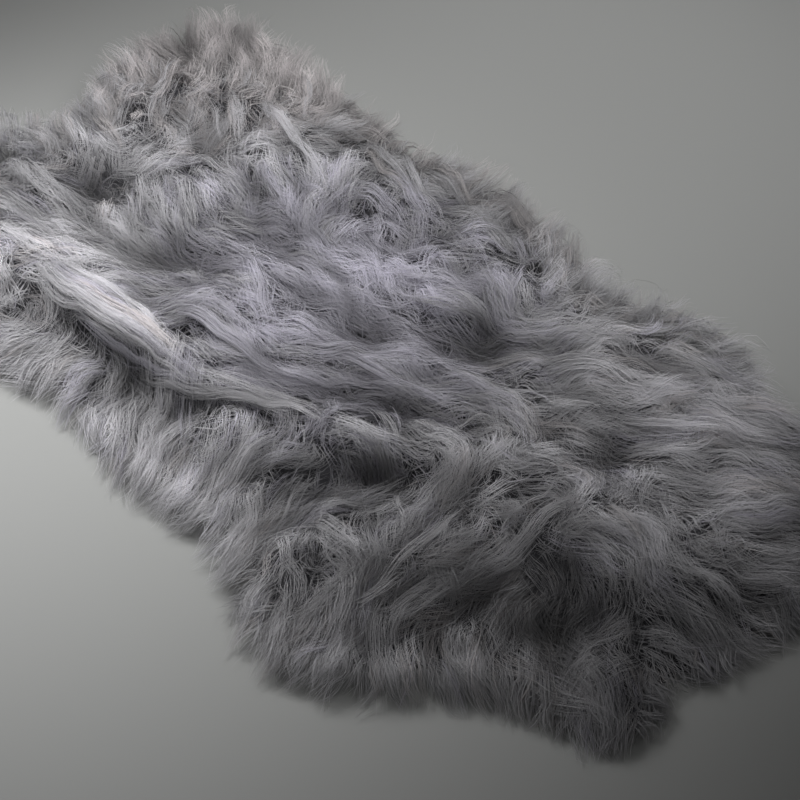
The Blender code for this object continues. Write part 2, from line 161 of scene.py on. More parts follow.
# Locks that stand out. Columns: the pixels of each point from root to tip, width in pixels, how far it lies
# over its neighbours in millimetres, how much paler it is in shades, as painted light, or below 0 painted
# shade.
MAIN_LOCKS = (
    # the spine's crest
    ((26, 236, 44, 260, 70, 284, 108, 304, 146, 328, 176, 352), 40, 9, 2.2),
    ((38, 252, 60, 275, 90, 296, 130, 318, 170, 345, 200, 372), 22, 10, 2.6),
    ((-14, 184, 4, 198, 24, 214, 54, 232), 24, 3, 0.7), ((-14, 220, 4, 230, 22, 238, 50, 258), 20, 3, 0.1),
    ((60, 290, 95, 312, 130, 335, 165, 362, 200, 385), 24, 6, 1.4),
    ((172, 348, 200, 378, 240, 392, 290, 404, 335, 426), 16, 7, 1.2),
    ((145, 303, 190, 310, 222, 332, 252, 354, 296, 374), 15, 9, 2.0),
    ((165, 304, 200, 297, 228, 306, 250, 330), 6, 8, 1.8), ((100, 272, 135, 278, 170, 281), 4, 6, 1.5),
    ((120, 345, 150, 374, 200, 389, 250, 393, 300, 412), 14, 6, 1.0),
    ((345, 406, 372, 410, 394, 426, 402, 446), 24, 9, 2.2),
    ((318, 412, 350, 425, 384, 438, 418, 440), 14, 6, 1.8),
    # the left lobe
    ((0, 195, 30, 218, 62, 236, 95, 245), 18, 4, 1.2), ((10, 150, 45, 185, 85, 212), 16, 3, 0.8),
    ((88, 100, 102, 122, 122, 150), 10, 5, 1.2), ((130, 165, 134, 192, 140, 222), 18, 6, 1.4),
    ((183, 170, 188, 196, 194, 228), 18, 6, 1.4), ((155, 170, 160, 195, 168, 220), 14, 3, 0.6),
    ((196, 152, 222, 170, 248, 188), 14, 6, 1.6), ((205, 85, 216, 112, 222, 146), 12, 4, 1.0),
    ((225, 82, 236, 112, 240, 148), 8, 4, 0.8),
    # the upper middle
    ((250, 92, 288, 128, 313, 158, 328, 186), 12, 6, 1.8), ((258, 150, 272, 180, 287, 208), 8, 5, 1.4),
    ((295, 165, 314, 186, 330, 205), 8, 4, 1.2), ((345, 128, 372, 132, 394, 147), 8, 4, 0.6),
    ((352, 142, 378, 156, 400, 180, 410, 206), 20, 3, 0.2),
    ((372, 160, 396, 178, 420, 206, 432, 232), 20, 3, 0.4),
    ((340, 178, 368, 190, 392, 210, 408, 236), 20, 3, 0.3),
    ((410, 160, 438, 172, 462, 196, 476, 220), 20, 3, 0.1),
    ((430, 200, 460, 210, 490, 226, 510, 250), 20, 3, 0.0),
    ((480, 180, 506, 200, 526, 226, 536, 250), 20, 3, -0.1), ((385, 182, 418, 194, 443, 220), 9, 5, 1.4),
    ((400, 150, 418, 188, 430, 215), 9, 4, 1.2), ((372, 208, 378, 228, 375, 250), 7, 5, 1.2),
    ((240, 243, 256, 272, 264, 305, 272, 340), 12, 6, 0.9), ((262, 268, 285, 278, 308, 294), 10, 5, 1.2),
    ((382, 270, 428, 275, 472, 294), 14, 7, 1.6), ((440, 240, 472, 243, 488, 260), 10, 5, 1.4),
    ((430, 288, 470, 300, 502, 334), 12, 8, 1.6), ((400, 290, 448, 301, 482, 312, 498, 332), 8, 7, 1.2),
    ((350, 258, 366, 266, 382, 284), 8, 4, 1.0), ((525, 262, 508, 292, 500, 324), 8, 5, 1.2),
    # the middle
    ((265, 355, 290, 372, 342, 386), 10, 6, 1.2), ((320, 340, 360, 362, 402, 386, 452, 406), 12, 6, 1.4),
    ((300, 386, 350, 383, 402, 396), 8, 5, 1.2), ((450, 372, 498, 394, 528, 408), 10, 6, 1.4),
    ((450, 436, 470, 423, 502, 418), 5, 6, 1.2), ((310, 310, 328, 326, 346, 343), 8, 4, 1.0),
    # the right
    ((520, 370, 575, 362, 620, 373, 664, 398), 18, 9, 2.2),
    ((600, 410, 650, 424, 695, 427, 740, 434), 12, 6, 1.6), ((700, 420, 742, 432, 794, 442), 10, 6, 1.6),
    ((650, 455, 698, 446, 720, 430), 9, 5, 1.4), ((750, 455, 768, 464, 786, 480), 9, 5, 1.6),
    ((640, 345, 690, 358, 745, 380), 12, 5, 1.2), ((540, 400, 572, 403, 606, 407), 10, 5, 1.2),
    ((508, 449, 540, 457, 567, 468), 8, 6, 2.0), ((600, 500, 630, 519, 648, 543), 12, 7, 2.0),
    ((660, 490, 671, 515, 677, 543), 7, 5, 1.4), ((695, 490, 724, 494, 756, 503), 11, 6, 1.8),
    ((712, 515, 740, 524, 772, 531), 11, 6, 1.8), ((540, 335, 592, 334, 642, 346), 8, 5, 1.2),
    # the lower right
    ((600, 500, 560, 505, 530, 530, 500, 562), 12, 6, 1.4), ((550, 542, 590, 520, 642, 546), 8, 6, 1.2),
    ((588, 549, 612, 566, 634, 583), 9, 6, 2.0), ((525, 578, 512, 585, 497, 594), 6, 5, 1.6),
    ((740, 600, 752, 620, 788, 628), 8, 5, 1.2), ((470, 490, 432, 538, 402, 560, 366, 592), 14, 7, 2.0),
    ((420, 560, 382, 589, 346, 604), 10, 6, 1.6), ((415, 465, 382, 489, 346, 502), 10, 6, 1.4),
    ((520, 432, 496, 450, 468, 472), 10, 6, 1.4), ((470, 570, 430, 600, 386, 622), 10, 5, 1.2),
    ((350, 640, 318, 648, 278, 662), 6, 5, 1.6), ((300, 440, 284, 450, 256, 464), 8, 5, 1.0),
    # the near left
    ((290, 430, 242, 478, 200, 558), 16, 5, 1.2), ((250, 425, 222, 468, 202, 522), 14, 5, 1.2),
    ((152, 428, 145, 455, 132, 490), 14, 6, 1.8), ((172, 428, 162, 455, 150, 484), 10, 5, 1.4),
    ((95, 396, 92, 414, 96, 428, 91, 446), 8, 7, 2.0), ((92, 384, 76, 396, 58, 412), 14, 6, 1.6),
    ((120, 395, 116, 430, 112, 468), 7, 5, 1.4), ((200, 500, 186, 512, 170, 524), 8, 5, 1.4),
    # the far rim at the waist and the corners
    ((372, 150, 382, 136, 389, 126), 18, 4, 0.0), ((388, 160, 398, 146, 406, 135), 20, 4, -0.3),
    ((408, 168, 420, 154, 430, 143), 20, 4, 0.0), ((430, 172, 442, 160, 452, 152), 18, 4, -0.2),
    ((452, 176, 466, 164, 475, 158), 16, 4, -0.2), ((588, 294, 603, 278, 612, 269), 18, 4, -0.2),
    ((618, 306, 631, 293, 640, 286), 16, 4, -0.2), ((10, 152, 8, 128, 8, 110), 18, 4, 0.2),
    ((32, 146, 32, 126, 30, 112), 16, 4, 0.0),
    # the far lobe
    ((214, 62, 200, 84, 176, 98), 22, 4, 0.4), ((246, 58, 240, 84, 228, 106), 22, 4, 0.6),
    ((190, 58, 168, 80, 140, 98), 22, 4, 0.3), ((150, 68, 128, 90, 112, 112), 20, 4, 0.4),
    ((275, 62, 272, 90, 262, 112), 18, 4, 0.6), ((300, 70, 306, 96, 300, 120), 16, 4, 0.6),
    ((132, 92, 122, 112, 112, 132), 18, 3, 0.4), ((168, 84, 160, 106, 150, 130), 20, 3, 0.3),
    ((200, 90, 196, 112, 190, 136), 20, 3, 0.2), ((236, 88, 236, 112, 242, 138), 18, 3, 0.5),
    ((266, 90, 276, 114, 292, 140), 18, 3, 0.6),
    # over the pockets of the near side
    ((300, 520, 326, 526, 350, 540, 362, 562), 22, 3, 0.2), ((276, 540, 270, 566, 262, 590), 22, 3, 0.2),
    ((290, 560, 296, 590, 288, 616), 22, 3, 0.0), ((300, 470, 280, 488, 266, 510), 18, 3, 0.2),
    # in the deepest hollow, dark as painted shade
    ((520, 548, 538, 566, 552, 588, 556, 610), 26, 1, -0.9),
    ((548, 540, 560, 560, 566, 584, 562, 606), 24, 1, -0.9), ((530, 570, 518, 584, 500, 600), 20, 1, -0.8),
    ((575, 560, 572, 580, 580, 602), 20, 1, -0.9),
    # thin locks over the others, pale as painted highlights
    ((372, 636, 352, 652, 346, 676, 330, 690, 322, 716), 5, 5, 1.6),
    ((352, 650, 336, 662, 330, 684, 312, 700), 5, 5, 1.6),
    ((392, 648, 380, 664, 384, 684, 372, 706), 5, 4, 1.2),
    ((440, 612, 452, 630, 446, 650, 462, 672, 458, 694), 5, 5, 1.4),
    ((466, 606, 474, 626, 468, 644, 482, 664), 5, 5, 1.4),
    ((402, 478, 396, 500, 404, 520, 392, 540), 5, 6, 1.8),
    ((470, 500, 452, 520, 440, 545, 425, 556), 5, 6, 1.8), ((360, 470, 366, 500, 356, 520), 4, 5, 1.4),
    ((500, 540, 470, 560, 440, 590), 5, 6, 1.2), ((560, 480, 530, 500, 505, 520), 5, 6, 1.4),
    ((136, 392, 134, 412, 130, 438), 3, 10, 2.2), ((220, 400, 226, 420, 238, 434), 3, 8, 2.2),
    ((108, 366, 112, 385, 100, 395), 3, 8, 2.0), ((650, 300, 672, 306, 690, 296), 8, 6, 0.8),
    ((672, 332, 698, 324, 722, 318), 8, 6, 0.8), ((696, 350, 724, 344, 745, 330), 8, 6, 0.8),
    ((716, 380, 745, 384, 768, 372), 8, 6, 0.8), ((184, 305, 205, 302, 236, 318, 262, 340), 4, 10, 2.2),
    ((60, 300, 84, 322, 120, 340, 150, 366), 4, 10, 1.4),
    # the near fringe
    ((330, 650, 320, 680, 305, 690), 14, 2, -0.1), ((350, 660, 330, 690, 310, 710), 14, 2, -0.1),
    ((370, 650, 350, 680, 340, 700), 14, 2, 0.3), ((390, 650, 375, 690, 350, 720), 14, 2, 0.1),
    ((400, 640, 400, 700), 14, 2, -0.3), ((430, 650, 430, 700), 14, 2, -0.3),
    ((440, 650, 460, 700, 465, 720), 14, 2, -0.1), ((470, 620, 460, 650, 480, 680, 490, 710), 16, 2, -0.1),
    ((500, 650, 500, 722), 18, 2, -0.5), ((520, 640, 525, 690, 528, 735), 20, 2, -0.5),
    ((545, 650, 550, 700, 552, 745), 20, 2, -0.5), ((570, 680, 580, 740), 20, 2, -0.5),
    ((600, 690, 600, 750), 20, 2, -0.5), ((630, 700, 610, 760), 18, 2, -0.3),
    ((650, 680, 655, 700), 14, 2, -0.3),
)

# Hollows where locks part and the deep wool shows, sunk and darkened with painted shade. Columns: centre,
# half-length and half-width in pixels, the length's heading in degrees clockwise from right, depth from 0 to
# 1.
HOLLOWS = (
    (100, 188, 32, 17, 20, 1.0), (150, 257, 44, 18, 8, 0.9), (252, 192, 30, 13, 80, 0.6),
    (207, 140, 24, 10, 65, 0.3), (378, 328, 30, 22, 20, 1.0), (475, 340, 48, 26, 12, 1.0),
    (370, 470, 40, 12, 8, 1.0), (400, 402, 80, 8, 10, 0.7), (215, 402, 78, 10, 4, 0.6),
    (85, 336, 48, 11, 25, 0.35), (140, 376, 50, 10, 36, 0.4), (320, 488, 95, 14, 8, 0.6),
    (600, 455, 34, 16, 10, 0.8), (480, 590, 34, 20, 150, 0.7), (550, 625, 50, 26, 15, 1.0),
    (770, 530, 22, 11, 10, 0.5), (665, 375, 16, 9, 10, 0.5), (120, 380, 30, 16, 30, 0.7),
)

# Painted light and shade on the wool. Columns as above, but the last is how much paler it is or, below 0,
# darker.
PAINTED_LIGHTS = (
    (130, 316, 130, 22, 36, 0.26), (225, 382, 60, 12, 28, 0.24), (60, 262, 50, 24, 40, 0.44),
    (336, 156, 28, 22, 130, -0.3), (60, 190, 70, 26, 25, -0.1), (600, 524, 50, 18, 10, -0.24),
    (430, 250, 50, 20, 15, 0.1), (160, 400, 60, 14, 40, -0.12), (375, 430, 44, 9, 18, 0.3),
    (660, 480, 120, 60, 20, 0.1), (245, 345, 70, 11, 34, 0.2), (340, 430, 50, 9, 14, 0.2),
    (300, 410, 60, 10, 20, 0.2), (380, 210, 150, 60, 25, 0.18), (230, 110, 130, 60, 10, 0.26),
    (710, 470, 100, 70, 20, 0.38), (460, 590, 150, 90, 20, -0.14), (460, 375, 90, 30, 15, -0.06),
    (60, 215, 50, 18, 30, 0.04), (300, 70, 80, 34, 20, 0.2), (150, 75, 60, 30, 150, 0.12),
    (190, 36, 62, 9, 172, -0.15), (186, 108, 26, 7, 75, -0.1), (180, 85, 40, 26, 160, 0.14),
    (220, 130, 30, 20, 40, 0.14), (150, 205, 36, 22, 80, 0.16), (245, 205, 26, 12, 70, 0.12),
    (320, 175, 32, 12, 60, 0.04), (252, 275, 34, 12, 75, 0.1), (440, 305, 56, 14, 15, 0.16),
    (350, 250, 40, 20, 20, 0.08), (505, 216, 60, 30, 25, -0.26), (560, 325, 36, 10, 15, 0.16),
    (615, 383, 90, 15, 6, 0.2), (700, 430, 90, 34, 6, 0.18), (690, 345, 70, 30, 15, 0.1),
    (745, 505, 36, 13, 15, 0.12), (560, 456, 28, 9, 30, 0.26), (606, 560, 16, 9, 40, 0.35),
    (390, 440, 54, 11, 12, 0.2), (130, 455, 66, 17, 42, 0.22), (230, 500, 50, 16, 118, 0.1),
    (345, 515, 60, 24, 5, -0.2), (440, 560, 62, 24, 128, -0.3), (570, 585, 62, 38, 15, -0.3),
    (560, 690, 80, 44, 5, -0.32), (400, 690, 110, 26, 5, -0.26), (310, 600, 60, 50, 90, -0.1),
    (700, 600, 60, 34, 160, -0.06),
    (255, 402, 90, 9, 8, -0.2), (400, 400, 80, 8, 12, -0.4), (330, 375, 60, 7, 18, -0.3),
    (385, 372, 18, 8, 15, 0.3), (455, 405, 60, 9, 14, 0.25), (430, 292, 60, 10, 8, 0.2),
    (545, 425, 30, 7, 5, -0.3), (610, 470, 14, 24, 10, -0.4), (490, 345, 46, 22, 8, -0.3),
    (410, 585, 20, 34, 40, -0.3), (575, 590, 30, 46, 20, -0.3), (545, 636, 50, 14, 5, -0.4),
    (325, 502, 50, 9, 5, -0.25), (505, 502, 46, 9, 5, -0.25), (400, 372, 60, 6, 15, -0.2),
    (250, 355, 44, 7, 35, -0.2), (365, 470, 48, 11, 5, -0.4), (525, 462, 40, 10, 10, 0.12),
    (180, 285, 36, 10, 20, -0.18),
)

# ---------------------------------------------------------------- small tools


def smooth_step(value):
    value = np.clip(value, 0.0, 1.0)
    return value * value * (3.0 - 2.0 * value)


def unit(vectors, least=0.0):
    """The vectors, each at length 1. One of no length needs a least of more than 0."""
    return vectors / (np.linalg.norm(vectors, axis=-1, keepdims=True) + least)


def rotated(vectors, turn):
    """Vectors in the plane, each turned by its own angle."""
    x, y = vectors[:, 0], vectors[:, 1]
    return np.stack([x * np.cos(turn) - y * np.sin(turn), x * np.sin(turn) + y * np.cos(turn)], axis=1)


def points_of(row):
    """The points whose coordinates a row gives in turn."""
    return np.array(row, float).reshape(-1, 2)


def in_groups(places):
    """The places in groups small enough to set against all the others."""
    return np.array_split(places, max(1, len(places) // GROUP))


def chosen(values, keep):
    """The kept rows of each array in a dictionary."""
    return {key: value[keep] for key, value in values.items()}


def joined(first, second):
    """Two dictionaries of arrays as one, the second's rows after the first's."""
    return {key: np.concatenate([first[key], second[key]]) for key in first}


def spline(before, here, after, beyond, t):
    """The point at share t of the span from here to after, on a smooth curve (Catmull-Rom)."""
    return 0.5 * (
        2.0 * here
        + (after - before) * t
        + (2.0 * before - 5.0 * here + 4.0 * after - beyond) * t**2
        + (3.0 * here - before - 3.0 * after + beyond) * t**3
    )


def travelled(path):
    """How far along a path each of its points lies."""
    return np.concatenate([[0.0], np.cumsum(np.linalg.norm(np.diff(path, axis=0), axis=1))])


def evenly(path, count):
    """count places along a path, evenly spaced."""
    reached = travelled(path)
    wanted = np.linspace(0.0, reached[-1], count)
    return np.stack([np.interp(wanted, reached, path[:, axis]) for axis in (0, 1)], axis=1)


def along_paths(paths, share):
    """Each path's points at shares of its steps. paths: locks, steps, axes. share: locks, places."""
    steps = paths.shape[1] - 1
    place = np.clip(share * steps, 0.0, steps - 1e-6)
    cell = place.astype(int)
    part = (place - cell)[..., None]
    row = np.arange(len(paths))[:, None]
    return paths[row, cell] * (1.0 - part) + paths[row, cell + 1] * part


# ---------------------------------------------------------------- the photograph's view

# The camera, as the photograph was taken: degrees, metres, and millimetres for the sensor.
PHOTO_SIDE = 800.0
VIEW_ELEVATION = 52.0
VIEW_AZIMUTH = 44.0
VIEW_ANGLE = 28.0
VIEW_DISTANCE = 1.84496
VIEW_TARGET = (0.07679, 0.01997, 0.0)
SENSOR = 36.0
SIGHT_LEVEL = 0.04  # the wool's height that a line of sight is first taken to meet
SIGHT_ROUNDS = 8  # how often that height is put right


def view_axes():
    """The camera's right, up and backward directions."""
    turn, lift = math.radians(VIEW_AZIMUTH), math.radians(VIEW_ELEVATION)
    back = np.array([math.sin(turn) * math.cos(lift), -math.cos(turn) * math.cos(lift), math.sin(lift)])
    right = np.array([math.cos(turn), math.sin(turn), 0.0])
    return right, np.cross(back, right), back


def camera_place():
    """Where the camera stands."""
    return np.array(VIEW_TARGET) + view_axes()[2] * VIEW_DISTANCE


def add_camera():
    data = bpy.data.cameras.new("camera")
    data.sensor_width = SENSOR
    data.lens = SENSOR / 2.0 / math.tan(math.radians(VIEW_ANGLE / 2.0))
    camera = bpy.data.objects.new("camera", data)
    camera.location = camera_place()
    camera.rotation_euler = Vector(-view_axes()[2]).to_track_quat("-Z", "Y").to_euler()
    bpy.context.scene.collection.objects.link(camera)
    bpy.context.scene.camera = camera


def on_level(pixels, level):
    """Where the lines of sight through pixels meet the level plane at a height, or at one height each."""
    right, up, back = view_axes()
    half = math.tan(math.radians(VIEW_ANGLE / 2.0))
    across = (pixels[..., 0:1] * 2.0 / PHOTO_SIDE - 1.0) * half
    down = (pixels[..., 1:2] * 2.0 / PHOTO_SIDE - 1.0) * half
    ray = across * right - down * up - back
    eye = camera_place()
    reach = (np.asarray(level)[..., None] - eye[2]) / ray[..., 2:3]
    return eye + ray * reach


def on_wool(pixels, heights, lift=0.0):
    """Where the lines of sight through pixels meet the wool's top, raised by lift."""
    level = np.full(len(pixels), SIGHT_LEVEL)
    for _ in range(SIGHT_ROUNDS):
        place = on_level(pixels, level)
        level = 0.5 * (level + heights.at(place) + lift)
    return place


# ---------------------------------------------------------------- outlines and fields

SPAN_STEPS = 12  # points to each span of a smooth curve
GRID_PITCH = 0.006
GRID_MARGIN = 0.09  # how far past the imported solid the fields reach
RAY_HEIGHT = 0.3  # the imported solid's top is felt for from here


def wool_outline():
    """The wool's edge as a smooth closed curve, with the overhang as its third column."""
    points = np.array(WOOL_EDGE)
    before, after, beyond = (np.roll(points, shift, axis=0) for shift in (1, -1, -2))
    spans = [spline(before, points, after, beyond, t) for t in np.arange(SPAN_STEPS) / SPAN_STEPS]
    return np.stack(spans, axis=1).reshape(-1, 3)


def outward(curve):
    """Unit normals of a closed counter-clockwise curve, in the plane."""
    along = np.roll(curve[:, :2], -1, axis=0) - np.roll(curve[:, :2], 1, axis=0)
    return unit(np.stack([along[:, 1], -along[:, 0]], axis=1))


def hide_outline():
    """The hide's edge: the wool's, drawn in by its overhang."""
    edge = wool_outline()
    return edge[:, :2] - outward(edge) * edge[:, 2:3]


def inside_by(points, outline):
    """How far each point lies inside the closed outline; below 0 it is outside."""
    ends = np.roll(outline, -1, axis=0)
    runs = ends - outline
    rise = np.where(runs[:, 1] == 0.0, 1.0, runs[:, 1])
    found = []
    for group in in_groups(points):
        offsets = group[:, None, :] - outline[None, :, :]
        share = np.clip((offsets * runs).sum(2) / (runs * runs).sum(1), 0.0, 1.0)
        distance = np.linalg.norm(offsets - share[..., None] * runs, axis=2).min(axis=1)
        x, y = group[:, 0:1], group[:, 1:2]
        spans = (outline[:, 1] > y) != (ends[:, 1] > y)
        crossing = outline[:, 0] + (y - outline[:, 1]) / rise * runs[:, 0]
        odd = (spans & (x < crossing)).sum(axis=1) % 2 == 1
        found.append(np.where(odd, distance, -distance))
    return np.concatenate(found)


class Field:
    """Values on an even grid over the rug, read smoothly between its points."""

    def __init__(self, pitch):
        low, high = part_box(NODE)
        self.pitch = pitch
        self.low = np.array([low.x, low.y]) - GRID_MARGIN
        self.count = np.ceil((np.array([high.x, high.y]) + GRID_MARGIN - self.low) / pitch).astype(int) + 1
        xs, ys = (start + pitch * np.arange(number) for start, number in zip(self.low, self.count))
        self.places = np.stack(np.meshgrid(xs, ys, indexing="ij"), axis=-1)

    def fill(self, values):
        """The field of these values on the same grid."""
        other = copy.copy(self)
        other.values = np.asarray(values, float).reshape(*self.count, -1)
        return other

    def smoothed(self, rounds):
        """The field after some rounds of averaging each value with its neighbours."""
        values = self.values
        for _ in range(rounds):
            for axis in (0, 1):
                size = values.shape[axis]
                padded = np.concatenate([values.take([0], axis), values, values.take([-1], axis)], axis)
                before, after = padded.take(range(size), axis), padded.take(range(2, size + 2), axis)
                values = 0.25 * before + 0.5 * values + 0.25 * after
        return self.fill(values)

    def slope(self):
        """The field of a one-valued field's rise along x and along y."""
        return self.fill(np.stack(np.gradient(self.values[..., 0], self.pitch), axis=-1))

    def at(self, points):
        """The values at points. Those past the grid get its edge's."""
        place = np.clip((points[..., :2] - self.low) / self.pitch, 0.0, self.count - 1.001)
        cell = place.astype(int)
        share = place - cell
        i, j = cell[..., 0], cell[..., 1]
        a, b = share[..., 0:1], share[..., 1:2]
        near = self.values[i, j] * (1.0 - a) + self.values[i + 1, j] * a
        far = self.values[i, j + 1] * (1.0 - a) + self.values[i + 1, j + 1] * a
        found = near * (1.0 - b) + far * b
        return found[..., 0] if found.shape[-1] == 1 else found


def edge_field():
    """How far inside the wool's edge each place lies."""
    field = Field(GRID_PITCH)
    return field.fill(inside_by(field.places.reshape(-1, 2), wool_outline()[:, :2]))


def height_field(node):
    """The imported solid's top, found by rays from above."""
    mesh = node.data
    tree = BVHTree.FromPolygons([v.co for v in mesh.vertices], [p.vertices[:] for p in mesh.polygons])
    field = Field(GRID_PITCH)
    down = Vector((0.0, 0.0, -1.0))
    tops = []
    for x, y in field.places.reshape(-1, 2):
        hit = tree.ray_cast(Vector((x, y, RAY_HEIGHT)), down)[0]
        tops.append(hit.z if hit else 0.0)
    return field.fill(tops)


def patch_field(rows, heights):
    """The sum of soft patches drawn over the photograph: how strong they are at each place."""
    field = Field(GRID_PITCH)
    places = field.places.reshape(-1, 2)
    total = np.zeros(len(places))
    for right, down, half_length, half_width, heading, strength in rows:
        centre = points_of((right, down))
        turn = math.radians(heading)
        length = np.array([math.cos(turn), math.sin(turn)]) * half_length
        width = np.array([-math.sin(turn), math.cos(turn)]) * half_width
        level = on_wool(centre, heights)[0, 2]
        middle, end, side = on_level(np.vstack([centre, centre + length, centre + width]), level)[:, :2]
        local = (places - middle) @ np.linalg.inv(np.array([end - middle, side - middle]))
        total += strength * np.exp(-(local**2).sum(axis=1))
    return field.fill(np.clip(total, -1.0, 1.0))


# ---------------------------------------------------------------- the wool's top and comb

TOP_SMOOTHING = 5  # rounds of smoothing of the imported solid's top
NORMAL_SMOOTHING = 4  # and of the wool's top, before its slopes are read
HOLLOW_DEPTH = 0.55  # the most of the wool's height that a hollow takes
FULL_WOOL = 0.04  # from this height on the wool has its full relief
FAR_SIDE = np.array([-0.45, 0.89])  # towards the rug's far side
FAR_FROM = -0.10  # how far along it the rim starts to be puffed up
FAR_OVER = 0.16  # and over what distance that grows to the whole
FAR_RIM = (0.050, 0.026, 0.030)  # the wool's height there, how far past the edge it starts, over what width
NEAR_RIM = (0.022, 0.002, 0.045)

# Clumps of wool. Columns: size, how far a clump runs along the comb, rounds of smoothing, its part.
CLUMPS = ((0.007, 0.024, 1, 0.6), (0.012, 0.036, 2, 0.6), (0.022, 0.050, 3, 0.6))
CLUMP_MOST = 2.2  # the most that the clumps may say, either way
CLUMP_RELIEF = 0.0060  # the height of a clump
RIM_CLUMPS = 0.30  # how much of the clumps is left at the rim
RIM_FADE = 0.07  # how far inside the rim they are whole

COMB_STEP = 0.008  # spacing of the field's readings along a stroke
COMB_REACH = 0.017  # how far a stroke has its full say
COMB_FAR = 0.045  # how far it still counts where none is near
COMB_FAR_SAY = 0.02  # and how much, as a share of its full say
COMB_PITCH = 0.010  # spacing of the field's own places


def lofty(heights, edge, hollows):
    """The wool's top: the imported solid's, puffed over the rim and sunk in the hollows."""
    far = smooth_step((heights.places @ FAR_SIDE - FAR_FROM) / FAR_OVER)
    lofts = []
    for height, past, over in (FAR_RIM, NEAR_RIM):
        lofts.append(height * smooth_step((edge.values[..., 0] + past) / over))
    top = np.maximum(heights.values[..., 0], far * lofts[0] + (1.0 - far) * lofts[1])
    return heights.fill(top * (1.0 - HOLLOW_DEPTH * hollows.values[..., 0])).smoothed(1)


def heaped(heights, clumps):
    """The wool's top with the clumps on it."""
    top = heights.values[..., 0]
    return heights.fill(top + CLUMP_RELIEF * clumps.values[..., 0] * smooth_step(top / FULL_WOOL))


def clump_field(comb, edge, chance):
    """About -2 to 2: how the wool heaps into long clumps that lie the way it is combed."""
    field = Field(GRID_PITCH)
    total = 0.0
    for pitch, run, rounds, part in CLUMPS:
        grain = Field(pitch)
        grain = grain.fill(chance.normal(0.0, 1.0, tuple(grain.count)))
        found = np.zeros(tuple(field.count))
        for side in (-1.0, 1.0):
            here = field.places
            for _ in range(int(run / GRID_PITCH)):
                found += grain.at(here)
                here = here + side * GRID_PITCH * comb.at(here)
        found = field.fill(found).smoothed(rounds).values[..., 0]
        total = total + part * (found - found.mean()) / found.std()
    fade = RIM_CLUMPS + (1.0 - RIM_CLUMPS) * smooth_step(edge.values[..., 0] / RIM_FADE)
    return field.fill(fade * np.clip(total, -CLUMP_MOST, CLUMP_MOST))


def comb_field(heights):
    """The direction in which the wool lies at each place, from the strokes and, at the rim, outward."""
    places, headings = [], []
    for stroke in COMB:
        path = on_wool(points_of(stroke), heights)[:, :2]
        path = evenly(path, max(2, round(travelled(path)[-1] / COMB_STEP)))
        places.append(path)
        headings.append(unit(np.gradient(path, axis=0)))
    rim = wool_outline()
    places = np.vstack([*places, rim[:: SPAN_STEPS // 2, :2]])
    headings = np.vstack([*headings, outward(rim)[:: SPAN_STEPS // 2]])
    field = Field(COMB_PITCH)
    found = []
    for group in in_groups(field.places.reshape(-1, 2)):
        square = ((group[:, None, :] - places[None, :, :]) ** 2).sum(axis=2)
        far = COMB_FAR_SAY * np.exp(-np.sqrt(square) / COMB_FAR)
        found.append((np.exp(-square / (2.0 * COMB_REACH**2)) + far) @ headings)
    return field.fill(unit(np.vstack(found), TINY))


# ---------------------------------------------------------------- the paths of locks

GUIDE_STEPS = 24  # points of a lock's path
GUIDE_SHARE = np.linspace(0.0, 1.0, GUIDE_STEPS)
JITTER = 0.45  # how far a root may lie off its even place, in spacings
SWAY_LEAST = 0.1
SWAY_TURNS = (2.0, 7.0)  # how far a sway's wave gets over a lock, in radians
HEADING_KEPT = 0.6  # how much of a lock's heading goes on from one step to the next
SHORTEST = 3  # the fewest steps that a lock goes before it ends

RISE_POWER = 0.7  # the less, the more steeply a lock leaves the hide
CLIMB_FROM = 0.80  # how much of its level a lock has at the root
ARCH_FROM = 0.12  # the share of its length at which a lock's arch starts
ARCH_WOOL = 0.03  # from this height of the wool on the arch is full
LOWEST_GUIDE = 0.0018
GATHER_OVER = 1.25  # above 1 a lock has joined its tuft before the tip

SHADES = 8
TINTS = 3 * SHADES  # columns of the wool's colour map: 3 hues of 8 shades
HUE_MOST = 1.2
HUE_SPREAD = 0.35
WARM_X, WARM_X_OVER = -0.10, 0.6  # warmer wool starts here, and gets warmer over this length
WARM_Y, WARM_Y_OVER = 0.16, 0.20
COOL_PLACE, COOL_REACH, COOL_STRENGTH = (-0.06, 0.06), 0.30, 1.6


def scattered(outline, spacing, chance):
    """Places spread evenly but unevenly enough over the inside of an outline."""
    low, high = outline.min(axis=0), outline.max(axis=0)
    row_pitch = spacing * math.sqrt(3.0) / 2.0
    rows = []
    for number, y in enumerate(np.arange(low[1], high[1], row_pitch)):
        xs = np.arange(low[0] + (number % 2) * spacing / 2.0, high[0], spacing)
        rows.append(np.stack([xs, np.full_like(xs, y)], axis=1))
    grid = np.vstack(rows)
    grid = grid + chance.uniform(-JITTER, JITTER, grid.shape) * spacing
    return grid[inside_by(grid, outline) > 0.0]


def nearest(points, others):
    """The number of the other point nearest to each point."""
    found = []
    for group in in_groups(points):
        found.append(((group[:, None, :] - others[None]) ** 2).sum(axis=2).argmin(axis=1))
    return np.concatenate(found)


